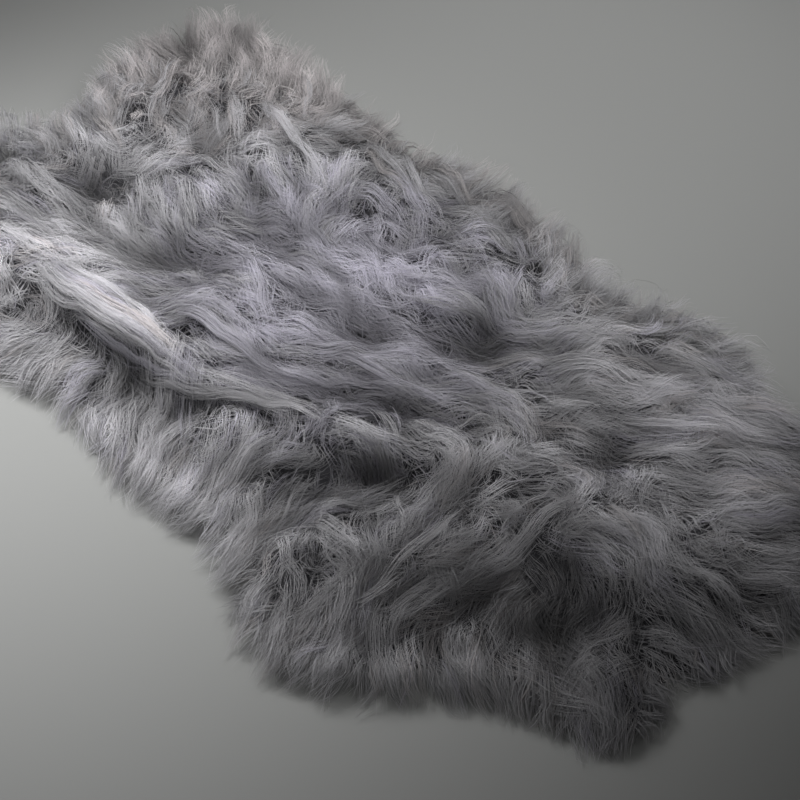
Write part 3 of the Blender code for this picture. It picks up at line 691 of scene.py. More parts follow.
def combed(roots, layer, fields, chance):
    """Paths in plan from the roots, along the comb until near the wool's edge, and their lengths."""
    count, last = len(roots), GUIDE_STEPS - 1
    lengths = chance.uniform(*layer["length"], count)
    lean = chance.normal(0.0, layer["lean"], count)
    sway = chance.uniform(SWAY_LEAST, layer["sway"], count)
    phase = chance.uniform(0.0, math.tau, count)
    turns = chance.uniform(*SWAY_TURNS, count)
    stop = chance.uniform(*layer["overhang"], count)
    paths = np.zeros((count, GUIDE_STEPS, 2))
    end = np.full(count, last)
    here, heading = roots, None
    for step in range(GUIDE_STEPS):
        paths[:, step] = here
        turned = rotated(fields["comb"].at(here), lean + sway * np.sin(phase + step / GUIDE_STEPS * turns))
        heading = turned if step == 0 else HEADING_KEPT * heading + (1.0 - HEADING_KEPT) * turned
        heading = unit(heading, TINY)
        here = here + heading * (lengths / last)[:, None]
        end[(end == last) & (fields["edge"].at(here) < stop)] = step
    end = np.maximum(end, SHORTEST)
    return along_paths(paths, end[:, None] / last * GUIDE_SHARE), lengths * end / last


def laid(plan, fields, level, offset, arch, rise_over):
    """Gives the plan paths their heights: up from the hide, then over the wool's top."""
    top = fields["heights"].at(plan)
    arch = arch[:, None] * (1.0 - fields["hollows"].at(plan))
    risen = smooth_step(GUIDE_SHARE / rise_over) ** RISE_POWER
    climb = level[:, None] * (CLIMB_FROM + (1.0 - CLIMB_FROM) * smooth_step(GUIDE_SHARE))
    body = risen * (top * climb + offset[:, None] * np.clip(top / FULL_WOOL, 0.0, 1.0))
    bend = np.sin(math.pi * np.clip((GUIDE_SHARE - ARCH_FROM) / (1.0 - ARCH_FROM), 0.0, 1.0))
    body += arch * bend * np.clip(top / ARCH_WOOL, 0.0, 1.0)
    z = np.maximum(body, LOWEST_GUIDE + 0.5 * HIDE_THICKNESS * (1.0 - GUIDE_SHARE))
    return np.concatenate([plan, z[..., None]], axis=2)


def surface_axes(guides, slopes):
    """Each guide's directions across it in the wool's surface, and up out of that surface."""
    along = unit(np.gradient(guides, axis=1), TINY)
    rise = slopes.at(guides)
    across = unit(np.cross(np.concatenate([-rise, np.ones_like(rise[..., :1])], axis=-1), along), TINY)
    return across, np.cross(along, across)


def hue_at(places, chance):
    """0 lavender, 1 neutral, 2 warm: lavender in the middle, warmer towards the far left end."""
    x, y = places[:, 0], places[:, 1]
    warm = (y - WARM_Y) / WARM_Y_OVER + (WARM_X - x) / WARM_X_OVER
    cool = 1.0 - np.hypot(x - COOL_PLACE[0], y - COOL_PLACE[1]) / COOL_REACH
    hue = 1.0 + np.clip(warm, 0.0, HUE_MOST) - np.clip(COOL_STRENGTH * cool, 0.0, HUE_MOST)
    return np.clip(np.round(hue + chance.normal(0.0, HUE_SPREAD, len(places))), 0, 2)


def finished(guides, fields, shade, chance, **measures):
    """Locks on these guides with their measures, axes, shade and hue."""
    across, up = surface_axes(guides, fields["slopes"])
    hue = hue_at(guides[:, GUIDE_STEPS // 2], chance)
    shade = np.clip(shade, 0.0, SHADES - 1.0)
    return {"guides": guides, "across": across, "up": up, "shade": shade, "hue": hue, **measures}


# ---------------------------------------------------------------- the layers of wool

# In a layer: spacing of the roots, length of a lock, how it leans and sways off the comb, how much it
# gathers into a tuft, how far inside the wool's edge it ends, its level as a share of the wool's height, how
# far it lies off that level, its arch, the share of its length over which it rises, its half width, its wave
# and its shade.
# The layers under the top wool have darker shades, as painted shade of the depth.
UNDER = dict(
    spacing=0.0250, length=(0.060, 0.100), lean=0.45, sway=0.60, gather=0.3, overhang=(-0.006, 0.014),
    level=(0.84, 0.95), offset=(-0.004, 0.002), arch=(0.0, 0.004), rise_over=0.20, width=(0.0075, 0.0120),
    wave=(0.0008, 0.0030), shade=3.4,
)
TOP = dict(
    spacing=0.0200, length=(0.085, 0.135), lean=0.30, sway=0.60, gather=0.50, overhang=(-0.013, 0.006),
    level=(0.90, 1.02), offset=(-0.003, 0.004), arch=(0.0, 0.007), rise_over=0.24, width=(0.0090, 0.0145),
    wave=(0.0010, 0.0060), shade=4.2,
)
WISP = dict(
    spacing=0.0135, length=(0.035, 0.080), lean=0.45, sway=0.8, gather=0.0, overhang=(-0.014, 0.006),
    level=(0.97, 1.06), offset=(0.001, 0.007), arch=(0.0, 0.006), rise_over=0.10, width=(0.0025, 0.0060),
    wave=(0.0004, 0.0030), shade=4.8,
)
TANGLE = dict(
    spacing=0.0120, length=(0.045, 0.075), lean=0.7, sway=0.8, gather=0.0, overhang=(-0.004, 0.010),
    level=(0.82, 0.95), offset=(-0.002, 0.002), arch=(0.0, 0.003), rise_over=0.10, width=(0.012, 0.018),
    wave=(0.0005, 0.0020), shade=3.4,
)
FILL = dict(TOP, lean=0.45, rise_over=0.16, length=(0.060, 0.110), level=(0.84, 0.97), gather=0.3)
RIM = dict(
    TOP, spacing=0.0170, length=(0.060, 0.100), gather=0.2, overhang=(-0.012, 0.008), level=(0.08, 0.85),
    rise_over=0.50, width=(0.0050, 0.0090), shade=3.6,
)
SKIRT = dict(
    RIM, spacing=0.0086, length=(0.050, 0.075), gather=0.0, overhang=(-0.008, 0.008), width=(0.0080, 0.0140),
    shade=3.0,
)
TUFT = dict(spacing=0.052, length=(0.10, 0.15), lean=0.42, sway=0.8, overhang=TOP["overhang"])

TUFT_LIFT = (-0.004, 0.006)
TUFT_SHADES = 0.8
TUFT_WAVE_LENGTH = (0.030, 0.056)
TUFT_WAVE_POWER = 1.3  # above 1 few tufts are as wavy as the waviest
TUFT_MIXING = 0.010  # how far from its place a lock may look for its tuft
LOCK_SHADES = 0.6
LOCK_FLAT = (0.28, 0.48)  # a lock's depth, as a share of its width
LOCK_TWIST = 1.0
LOCK_PHASE = 0.5  # how far locks of one tuft are out of phase
LOCK_RAGGED = (0.25, 0.60)  # how far before the lock's tip its strips may end
WAVE_SHARES = (0.9, 1.1)  # a lock's wave length, as a share of its tuft's
WAVE_LEAST = 0.35  # the wave of locks in the least wavy tuft
LONG_LOCK = 0.1  # from this length on a lock's arch and wave are full
WIDE_LOCK = 0.08  # and from this one its width
SHORT_ARCH, SHORT_WAVE, SHORT_WIDTH = 0.2, 0.3, 0.55  # the least that short locks have of them

RIM_BAND = 0.028  # how far inside the hide's edge the rim's lowest locks start
SKIRT_BAND = 0.020
SKIRT_FROM = (0.45, 0.95)  # where the skirt's locks start, as shares of the wool's height
SKIRT_WHERE = 0.75  # on the near side they hang only where the wool is combed less outward than this
SKIRT_FACING = -0.35  # an edge that faces the far side more than this has them all along

COVER_PITCH = 0.010
COVER_FROM = 0.22  # the first part of a lock, as a share of its length, covers nothing
COVER_SMOOTHING = 2
FILL_SPACING = 0.017
FILL_BELOW = 1.5  # places with less cover than this get another lock
FILL_ROUNDS = 3

METRES_PER_PIXEL = 0.00115
MAIN_LOCK_WIDTH = 0.011
MAIN_SPREAD = ((0.0, 0.3, 0.7, 1.0), (0.35, 1.0, 0.8, 0.35))  # how far apart its locks lie, from root to tip
MAIN_ARCH = ((0.0, 0.25, 0.75, 1.0), (0.3, 1.0, 1.0, 0.35))  # how much of its lift a lock has
MAIN_RISE = 0.10  # the share of its length over which it rises
MAIN_START = 0.55  # where main locks start, as a share of the wool's height
MAIN_LOWEST = 0.002
MAIN_SCATTER = 0.0015  # how far the locks side by side are off their even places
MAIN_LATE = (0.0, 0.10)  # where along the whole they start, and where they end
MAIN_END = (0.86, 1.0)
MAIN_LIFTS = (0.8, 1.2)  # their lift, as a share of the whole's
MAIN_WIDTHS = (0.62, 0.80)  # their half width, as a share of their room
MAIN_SHADES = 0.35
MAIN_PHASE = 0.3
MAIN_FLAT = (0.35, 0.55)
MAIN_TWIST = 0.8
MAIN_WAVE = (0.0004, 0.0018)
MAIN_WAVE_LENGTH = (0.035, 0.06)
MAIN_RAGGED = (0.15, 0.40)
EDGE_SMOOTHING = 2  # before its slopes give the way out over the rim


def make_tufts(outline, fields, chance):
    """The larger tufts that the locks gather into."""
    roots = scattered(outline, TUFT["spacing"], chance)
    count = len(roots)
    return {
        "roots": roots,
        "plan": combed(roots, TUFT, fields, chance)[0],
        "lift": chance.uniform(*TUFT_LIFT, count),
        "shade": chance.normal(0.0, TUFT_SHADES, count),
        "phase": chance.uniform(0.0, math.tau, count),
        "wave_length": chance.uniform(*TUFT_WAVE_LENGTH, count),
        "wave": chance.uniform(0.0, 1.0, count) ** TUFT_WAVE_POWER,
    }


def comb_locks(roots, layer, fields, tufts, chance):
    """Locks from these roots that follow the comb and gather into tufts."""
    count = len(roots)
    plan, lengths = combed(roots, layer, fields, chance)
    tuft = chosen(tufts, nearest(roots + chance.normal(0.0, TUFT_MIXING, roots.shape), tufts["roots"]))
    pull = layer["gather"] * smooth_step(np.linspace(0.0, GATHER_OVER, GUIDE_STEPS))[None, :, None]
    plan = plan + pull * (tuft["plan"] - plan)
    level = chance.uniform(*layer["level"], count)
    offset = chance.uniform(*layer["offset"], count) + layer["gather"] * tuft["lift"]
    arch = chance.uniform(*layer["arch"], count) * np.clip(lengths / LONG_LOCK, SHORT_ARCH, 1.0)
    guides = laid(plan, fields, level, offset, arch, layer["rise_over"])
    wave = chance.uniform(*layer["wave"], count) * (WAVE_LEAST + tuft["wave"])
    shade = layer["shade"] + tuft["shade"] + chance.normal(0.0, LOCK_SHADES, count)
    return finished(
        guides,
        fields,
        shade,
        chance,
        length=lengths,
        width=chance.uniform(*layer["width"], count) * np.clip(lengths / WIDE_LOCK, SHORT_WIDTH, 1.0),
        flat=chance.uniform(*LOCK_FLAT, count),
        twist=chance.normal(0.0, LOCK_TWIST, count),
        wave=wave * np.clip(lengths / LONG_LOCK, SHORT_WAVE, 1.0),
        wave_length=tuft["wave_length"] * chance.uniform(*WAVE_SHARES, count),
        phase=tuft["phase"] + chance.normal(0.0, LOCK_PHASE, count),
        ragged=chance.uniform(*LOCK_RAGGED, count),
    )


def skirt_locks(outline, fields, tufts, chance):
    """Locks that hang over the hide's edge to the floor, where the wool above them lies along the rim."""
    inward = fields["edge"].smoothed(EDGE_SMOOTHING).slope()
    away = inward.fill(-unit(inward.values, TINY))
    roots = scattered(outline, SKIRT["spacing"], chance)
    combed_out = (fields["comb"].at(roots) * away.at(roots)).sum(axis=1)
    facing = away.at(roots) @ FAR_SIDE
    near_rim = inside_by(roots, outline) < SKIRT_BAND
    roots = roots[near_rim & ((combed_out < SKIRT_WHERE) | (facing > SKIRT_FACING))]
    locks = comb_locks(roots, SKIRT, {**fields, "comb": away}, tufts, chance)
    start = fields["heights"].at(roots) * chance.uniform(*SKIRT_FROM, len(roots))
    locks["guides"][..., 2] = start[:, None] * (1.0 - GUIDE_SHARE**2) + HIDE_THICKNESS
    locks["across"], locks["up"] = surface_axes(locks["guides"], fields["slopes"])
    return locks


def main_spine(path, heights, lift):
    """The middle of a lock that stands out, as a smooth path in plan."""
    points = on_wool(points_of(path), heights, lift)[:, :2]
    full = np.vstack([2.0 * points[0] - points[1], points, 2.0 * points[-1] - points[-2]])
    steps = np.linspace(0.0, 1.0, SPAN_STEPS, endpoint=False)
    dense = [spline(*full[k : k + 4], t) for k in range(len(points) - 1) for t in steps]
    return evenly(np.array(dense + [points[-1]]), GUIDE_STEPS)


def main_plans(heights, chance):
    """Each lock that stands out as several side by side: their plans, arches, shades, widths and phases."""
    rows = []
    for path, width, lift, paler in MAIN_LOCKS:
        lift = lift / 1000.0
        spine = main_spine(path, heights, lift)
        along = unit(np.gradient(spine, axis=0))
        aside = np.stack([-along[:, 1], along[:, 0]], axis=1)
        span = width * METRES_PER_PIXEL
        count = max(1, round(span / MAIN_LOCK_WIDTH))
        spread = np.interp(GUIDE_SHARE, *MAIN_SPREAD)
        phase = chance.uniform(0.0, math.tau)
        for number in range(count):
            place = ((number + 0.5) / count - 0.5) * span + chance.normal(0.0, MAIN_SCATTER)
            cut = chance.uniform(*MAIN_END) if count > 1 else 1.0
            late = chance.uniform(*MAIN_LATE) if count > 1 else 0.0
            plan = spine + aside * (place * spread)[:, None]
            plan = along_paths(plan[None], (late + (cut - late) * GUIDE_SHARE)[None])[0]
            arch = lift * chance.uniform(*MAIN_LIFTS)
            # a lock's paler shade here is painted light, and below 0 painted shade
            shade = TOP["shade"] + paler + chance.normal(0.0, MAIN_SHADES)
            lock_width = min(span / count, MAIN_LOCK_WIDTH) * chance.uniform(*MAIN_WIDTHS)
            rows.append((plan, arch, shade, lock_width, phase + chance.normal(0.0, MAIN_PHASE)))
    return [np.array(column) for column in zip(*rows)]


def main_locks(fields, chance):
    """The locks that stand out, laid over the others."""
    plan, arch, shade, width, phase = main_plans(fields["heights"], chance)
    top = fields["heights"].at(plan)
    risen = smooth_step(GUIDE_SHARE / MAIN_RISE)
    over = arch[:, None] * np.interp(GUIDE_SHARE, *MAIN_ARCH)
    z = risen * (top + over) + (1.0 - risen) * MAIN_START * top
    count = len(plan)
    return finished(
        np.concatenate([plan, np.maximum(z, MAIN_LOWEST)[..., None]], axis=2),
        fields,
        shade,
        chance,
        length=np.linalg.norm(np.diff(plan, axis=1), axis=2).sum(axis=1),
        width=width,
        flat=chance.uniform(*MAIN_FLAT, count),
        twist=chance.normal(0.0, MAIN_TWIST, count),
        wave=chance.uniform(*MAIN_WAVE, count),
        wave_length=chance.uniform(*MAIN_WAVE_LENGTH, count),
        phase=phase,
        ragged=chance.uniform(*MAIN_RAGGED, count),
    )


def cover_field(locks):
    """How much wool lies over each place, as the area of locks to the area of floor."""
    field = Field(COVER_PITCH)
    values = np.zeros(tuple(field.count))
    patch = locks["length"] / GUIDE_STEPS * 2.0 * locks["width"] / COVER_PITCH**2
    for step in range(int(COVER_FROM * GUIDE_STEPS), GUIDE_STEPS):
        place = np.round((locks["guides"][:, step, :2] - field.low) / field.pitch).astype(int)
        place = np.clip(place, 0, field.count - 1)
        np.add.at(values, (place[:, 0], place[:, 1]), patch)
    return field.fill(values).smoothed(COVER_SMOOTHING)


def bare_places(locks, outline, chance):
    """Places over the hide that little wool covers, a little apart."""
    cover = cover_field(locks)
    spots = scattered(outline, FILL_SPACING, chance)
    return spots[cover.at(spots) < FILL_BELOW]


def make_layers(outline, fields, chance):
    """The locks of each layer with the kind of hair that they are made of."""
    tufts = make_tufts(outline, fields, chance)

    def spread(layer, band=math.inf):
        """A layer's locks over the hide, or over a band inside its edge."""
        roots = scattered(outline, layer["spacing"], chance)
        return comb_locks(roots[inside_by(roots, outline) < band], layer, fields, tufts, chance)

    under, top = spread(UNDER), spread(TOP)
    fill = comb_locks(bare_places(top, outline, chance), FILL, fields, tufts, chance)
    for _ in range(FILL_ROUNDS - 1):
        spots = bare_places(joined(top, fill), outline, chance)
        fill = joined(fill, comb_locks(spots, FILL, fields, tufts, chance))
    tangle = spread(TANGLE)
    main = main_locks(fields, chance)
    wisps = spread(WISP)
    rim = spread(RIM, RIM_BAND)
    skirt = skirt_locks(outline, fields, tufts, chance)
    return (
        (under, UNDER_HAIR),
        (tangle, TANGLE_HAIR),
        (rim, RIM_HAIR),
        (skirt, SKIRT_HAIR),
        (top, HAIR),
        (fill, FILL_HAIR),
        (main, MAIN_HAIR),
        (wisps, WISP_HAIR),
    )


# ---------------------------------------------------------------- the strips of hair in a lock

# In a kind of hair: strips to each square metre of lock, their rings, where along the lock they start, how
# evenly they end, their distance from its middle, how loosely they keep their place, the lock's twist, how
# far strands are out of phase, the share that stray, their frizz, width, roll and bow, how much lighter they
# are, how shades differ between strands and between strips, the width of their streaks, and how much painted
# light and shade the clumps give them.
HAIR = dict(
    density=11000.0, rings=6, start=(0.02, 0.38), even=0.8, radius=(0.80, 1.15), loose=0.22, twist=0.25,
    out_of_phase=0.38, stray=0.13, frizz=0.0016, width=(0.00024, 0.00052), roll=0.25, bow=0.5, lighter=0.0,
    strand_shades=0.28, shades=0.30, streaks=0.12, clump_painted=1.0,
)
MAIN_HAIR = dict(HAIR, clump_painted=0.25, density=16500.0, rings=10, start=(0.0, 0.30), even=1.1, stray=0.10)
FILL_HAIR = dict(HAIR, start=(0.0, 0.10))
RIM_HAIR = dict(HAIR, density=9000.0, rings=5, start=(0.0, 0.3), lighter=-0.2)
# These have a fixed number of strips to a lock instead.
WISP_HAIR = dict(
    HAIR, strips=3, rings=5, start=(0.0, 0.2), radius=(0.3, 1.4), stray=0.15, width=(0.00020, 0.00038),
    lighter=0.2,
)
# The deep layers' hair is made darker, as painted shade: their lighter is below 0.
UNDER_HAIR = dict(
    HAIR, strips=10, rings=4, start=(0.0, 0.1), radius=(0.4, 1.0), frizz=0.0006, width=(0.0006, 0.0011),
    lighter=-0.9, streaks=0.3,
)
TANGLE_HAIR = dict(UNDER_HAIR, strips=4)
SKIRT_HAIR = dict(UNDER_HAIR, strips=8, lighter=-0.3, out_of_phase=0.8, stray=0.3)

STRANDS = 7  # a lock's strips lie in this many strands
STRAND_ROOM = (0.1, 0.9)  # where in its share of the lock's width a strand lies
LOCK_WIDTH = ((0.0, 0.12, 0.35, 0.60, 0.82, 1.0), (0.85, 1.0, 1.0, 0.92, 0.74, 0.50))  # from root to tip
STRIP_WIDTH = ((0.0, 0.15, 0.55, 0.85, 1.0), (0.55, 1.0, 1.0, 0.70, 0.20))
WAVE_START = 0.45  # how much of its swing a wave has at the root
WAVE_OVER = 1.6
WAVE_LIFT = 0.35  # a wave's rise, as a share of its swing
FRIZZ_TURNS = (0.4, 1.1)  # how many waves the frizz has over a lock
FRIZZ_OVER = 2.0  # frizz grows to its full size over 1 / this of the lock
FRIZZ_LIFT = 0.6
THICK_OVER = 4.0  # a strip reaches its depth in the lock over 1 / this of its own length
SINK_OVER = 5.0  # and its root's dip ends over this
STRAY_OUT = (1.1, 1.7)  # how much further out a stray strip lies
STRAY_FRIZZ = 3.0
STRAY_LIFT = 0.004
ROOT_SINK = 0.002  # how far a strip's root dips into the lock
WOOL_KNEE = 0.080  # above this height the wool is pressed towards the top of its box
WOOL_CAP = 0.0965
LOWEST_LINE = 0.0012  # no strip's middle and no vertex is lower than these
LOWEST_VERTEX = 0.0006
SOFTNESS = 0.70  # how much a strip's normals follow the wool's surface

PLAIN_LEVEL = 0.61  # how far up the colour map wool lies that is neither pale nor dark
HOLLOW_PAINTED_SHADE = 0.80  # the most of its brightness that painted shade in a hollow takes
CLUMP_PAINTED_LIGHT = 0.27  # painted light and shade: how much paler a clump is than the wool round it
FLANK_PAINTED_SHADE = 0.28  # painted shade: how much darker a lock is at its sides
FLANK_POWER = 1.5
ROOT_SHADE_OVER = 0.42  # the share of a lock's length over which its colour comes up from the painted shade at its root
ROOT_SHADE_LEVEL = 0.62
STRIP_SHADE_OVER = 0.30  # the same for a single strip
STRIP_SHADE_LEVEL = 0.75
TIP_PALER = 0.03
MAP_END = 0.005  # the map's ends are left free by this much
COLUMN_EDGE = 0.06  # and so are its columns' sides, in columns


def pressed(height):
    """The height, drawn in smoothly so that it stays below the cap."""
    room = WOOL_CAP - WOOL_KNEE
    return np.where(height > WOOL_KNEE, WOOL_KNEE + room * np.tanh((height - WOOL_KNEE) / room), height)


def ring_shares(kind):
    """How far along a strip each of its rings lies."""
    return np.linspace(0.0, 1.0, kind["rings"] + 1)


def strip_counts(locks, kind):
    """How many strips each lock has."""
    if "strips" in kind:
        return np.full(len(locks["length"]), kind["strips"])
    return np.maximum(2, np.round(kind["density"] * 2.0 * locks["width"] * locks["length"]).astype(int))


def drawn_strips(locks, kind, chance):
    """Each strip's own values: its lock's, where it lies in the lock, and how it strays and frizzes."""
    each = strip_counts(locks, kind)
    owner = np.repeat(np.arange(len(each)), each)
    total, size = len(owner), (len(each), STRANDS)
    own = chosen(locks, owner)
    strand = chance.integers(0, STRANDS, total)
    place = (np.arange(STRANDS) + chance.uniform(*STRAND_ROOM, size)) / STRANDS * 2.0 - 1.0
    shade = chance.normal(0.0, kind["strand_shades"], size)
    phase = chance.normal(0.0, kind["out_of_phase"], size)
    radius = chance.uniform(*kind["radius"], size)
    first = chance.uniform(*kind["start"], total)
    last = 1.0 - own["ragged"] * chance.random(total) ** kind["even"]
    share = first[:, None] + (last - first)[:, None] * ring_shares(kind)
    stray = chance.random(total) < kind["stray"]
    radius = radius[owner, strand] * np.where(stray, chance.uniform(*STRAY_OUT, total), 1.0)
    place = place[owner, strand] + chance.normal(0.0, kind["loose"], total)
    turn = np.arccos(np.clip(place, -1.0, 1.0))[:, None] + kind["twist"] * own["twist"][:, None] * share
    frizz_phase = chance.uniform(0.0, math.tau, (2, total))[..., None]
    frizz_rate = chance.uniform(*FRIZZ_TURNS, (2, total))[..., None] * math.tau
    frizz = np.sin(frizz_phase + frizz_rate * share) * smooth_step(share * FRIZZ_OVER) * kind["frizz"]
    own["shade"] = own["shade"] + shade[owner, strand]
    own["phase"] = own["phase"] + phase[owner, strand]
    own.update(share=share, turn=turn, radius=radius, stray=stray)
    own["frizz"] = frizz * np.where(stray, STRAY_FRIZZ, 1.0)[:, None]
    return own


def strip_lines(own, kind):
    """The middle line of every strip, and the directions across its lock and up out of the wool."""
    share, turn, frizz = own["share"], own["turn"], own["frizz"]
    middle, across, up = (along_paths(own[key], share) for key in ("guides", "across", "up"))
    columns = ("length", "wave_length", "wave", "phase")
    length, wave_length, wave, phase = (own[key][:, None] for key in columns)
    radius = own["radius"][:, None]
    width = own["width"][:, None] * np.interp(share, *LOCK_WIDTH)
    depth = width * own["flat"][:, None]
    beat = share * length / wave_length * math.tau + phase
    swing = wave * smooth_step(share * WAVE_OVER) * (WAVE_START + (1.0 - WAVE_START) * share)
    sideways = np.cos(turn) * radius * width + swing * np.sin(beat) + frizz[0]
    thick = np.sin(turn) * radius * depth * smooth_step(ring_shares(kind) * THICK_OVER)
    thick = thick + WAVE_LIFT * swing * np.cos(beat) + FRIZZ_LIFT * frizz[1]
    thick = thick - ROOT_SINK * (1.0 - smooth_step(ring_shares(kind) * SINK_OVER))
    thick = thick + np.where(own["stray"], STRAY_LIFT, 0.0)[:, None] * np.sin(math.pi * share)
    line = middle + across * sideways[..., None] + up * thick[..., None]
    line[..., 2] = np.maximum(pressed(line[..., 2]), LOWEST_LINE)
    return line, across, up


def ringed(middle, aside):
    """The values either side of the middle at every ring but the last, and the middle's own at the tip."""
    pairs = np.stack([middle - aside, middle + aside], axis=2)[:, :-1]
    return np.concatenate([pairs.reshape(len(middle), -1, 3), middle[:, -1:]], axis=1)


def strip_vertices(own, line, across, up, width, roll, bow):
    """The strips' vertices, with the normals of a rounded strip."""
    turn, flat = own["turn"][..., None], own["flat"][:, None, None]
    out = across * np.cos(turn) * flat + up * np.abs(np.sin(turn))
    along = unit(np.gradient(line, axis=1), TINY)
    side = unit(np.cross(out, along), TINY)
    face = np.cross(along, side)
    cosine, sine = np.cos(roll)[:, None, None], np.sin(roll)[:, None, None]
    turned = side * cosine + face * sine
    normal = face * cosine - side * sine
    soft = (1.0 - SOFTNESS) * normal + SOFTNESS * up
    places = ringed(line, turned * (0.5 * width)[..., None])
    places[..., 2] = np.maximum(places[..., 2], LOWEST_VERTEX)
    return places, unit(ringed(soft, turned * bow), TINY)


def strip_faces(strands, rings):
    """Each strip's quads and the triangle at its tip: vertex numbers, face sizes, one strip's numbers."""
    quads = [[2 * r, 2 * r + 2, 2 * r + 3, 2 * r + 1] for r in range(rings - 1)]
    corners = np.array([*sum(quads, []), 2 * rings - 2, 2 * rings, 2 * rings - 1])
    starts = np.arange(strands) * (rings * 2 + 1)
    loops = (starts[:, None] + corners[None, :]).reshape(-1)
    sizes = np.tile([4] * (rings - 1) + [3], strands)
    return loops, sizes, corners


def strip_levels(own, line, kind, fields):
    """How far up the colour map each ring lies, with painted light and shade: dark at roots, flanks and
    hollows.
    """
    root = ROOT_SHADE_LEVEL + (1.0 - ROOT_SHADE_LEVEL) * smooth_step(own["share"] / ROOT_SHADE_OVER)
    risen = root * (STRIP_SHADE_LEVEL + (1.0 - STRIP_SHADE_LEVEL) * smooth_step(ring_shares(kind) / STRIP_SHADE_OVER))
    risen = risen * (1.0 - FLANK_PAINTED_SHADE * (1.0 - np.abs(np.sin(own["turn"]))) ** FLANK_POWER)
    painted_factor = (1.0 - HOLLOW_PAINTED_SHADE * fields["hollows"].at(line)) * (1.0 + fields["painted_lights"].at(line))
    painted_factor = painted_factor * np.exp(CLUMP_PAINTED_LIGHT * kind["clump_painted"] * fields["clumps"].at(line))
    return np.clip(PLAIN_LEVEL * risen * painted_factor + TIP_PALER * own["share"], MAP_END, 1.0 - MAP_END)


def strip_maps(own, level, kind, corners, chance):
    """The strips' map coordinates: across it by their hue and shade, and up it by their level."""
    total = len(level)
    shade = own["shade"] + chance.normal(kind["lighter"], kind["shades"], total)
    column = own["hue"] * SHADES + np.clip(np.round(shade), 0, SHADES - 1)
    middle = chance.uniform(0.5 * kind["streaks"], 1.0 - 0.5 * kind["streaks"], total)
    side = np.where(chance.random(total) < 0.5, -0.5, 0.5) * kind["streaks"]
    room = 1.0 - 2.0 * COLUMN_EDGE
    left, right = ((column + COLUMN_EDGE + room * place) / TINTS for place in (middle - side, middle + side))
    u = np.zeros((total, 2 * kind["rings"] + 1))
    u[:, 0:-1:2] = left[:, None]
    u[:, 1:-1:2] = right[:, None]
    u[:, -1] = 0.5 * (left + right)
    v = np.concatenate([np.repeat(level[:, :-1], 2, axis=1), level[:, -1:]], axis=1)
    return np.stack([u[:, corners], v[:, corners]], axis=-1)


def strips(locks, kind, fields, chance):
    """The strips of some locks: places, normals, loops, face sizes and map coordinates."""
    own = drawn_strips(locks, kind, chance)
    line, across, up = strip_lines(own, kind)
    total = len(line)
    width = chance.uniform(*kind["width"], total)[:, None] * np.interp(ring_shares(kind), *STRIP_WIDTH)
    roll = chance.normal(0.0, kind["roll"], total)
    places, normals = strip_vertices(own, line, across, up, width, roll, kind["bow"])
    loops, sizes, corners = strip_faces(total, kind["rings"])
    maps = strip_maps(own, strip_levels(own, line, kind, fields), kind, corners, chance)
    return places.reshape(-1, 3), normals.reshape(-1, 3), loops, sizes, maps.reshape(-1, 2)


def make_mesh(name, parts):
    """One mesh of several groups of strips."""
    places, normals, loops, sizes, maps = zip(*parts)
    starts = np.cumsum([0] + [len(group) for group in places[:-1]])
    loops = np.concatenate([group + start for group, start in zip(loops, starts)])
    places, normals, sizes, maps = (np.concatenate(groups) for groups in (places, normals, sizes, maps))
    mesh = bpy.data.meshes.new(name)
    mesh.vertices.add(len(places))
    mesh.vertices.foreach_set("co", places.astype(np.float32).reshape(-1))
    mesh.loops.add(len(loops))
    mesh.loops.foreach_set("vertex_index", loops.astype(np.int32))
    mesh.polygons.add(len(sizes))
    mesh.polygons.foreach_set("loop_start", np.concatenate([[0], np.cumsum(sizes)[:-1]]).astype(np.int32))
    mesh.update(calc_edges=True)
    mesh.uv_layers.new(name="OFBake").data.foreach_set("uv", maps.astype(np.float32).reshape(-1))
    mesh.polygons.foreach_set("use_smooth", np.ones(len(sizes), bool))
    mesh.normals_split_custom_set_from_vertices(normals.astype(np.float32))
    mesh.update()
    return mesh


# ---------------------------------------------------------------- materials

LAVENDER = (0.82, 0.80, 0.885)
NEUTRAL = (0.84, 0.83, 0.86)
WARM = (0.85, 0.81, 0.815)
DARKEST_SHADE = 0.52  # the brightness of the first shade, and how much each shade adds
SHADE_STEP = 0.080
WOOL_ROOT = (0.05, 0.05, 0.05)  # the foot of the colour map
WOOL_LIGHT = 1.35
STREAKS = 14.0  # the streaks across a column
STREAKS_ALONG = 2.5  # how many fit along the map
STREAK_NOISE = (1.0, 2.0)
# The noise's range, and the range of brightness that it gives
STREAK_RANGE = {"From Min": 0.30, "From Max": 0.70, "To Min": 0.74, "To Max": 1.14}
TRANSLUCENCY = 0.28
# painted shade: the near-black of the matted wool where locks part
MAT_SHADE_COLOURS = ((0.03, 0.03, 0.033), (0.13, 0.128, 0.14))
MAT_CLOUD = (60.0, 6.0)  # scale and detail of a noise, here and below
HIDE_COLOURS = ((0.43, 0.41, 0.39), (0.60, 0.58, 0.56))
HIDE_CLOUD = (9.0, 4.0)
NAP = (700.0, 3.0)
NAP_DEPTH = 0.0004
NAP_STRENGTH = 0.6
FLOOR_COLOUR = (0.372, 0.376, 0.368)
WOOL_FINISH = (0.60, 0.30)  # roughness and specular level, here and below
MAT_FINISH = (0.85, 0.2)
HIDE_FINISH = (0.9, 0.2)
FLOOR_FINISH = (0.8, 0.5)


def new_material(name, roughness, specular):
    material = bpy.data.materials.new(name)
    material.use_nodes = True
    shader = material.node_tree.nodes["Principled BSDF"]
    shader.inputs["Roughness"].default_value = roughness
    shader.inputs["Specular IOR Level"].default_value = specular
    return material, material.node_tree, shader


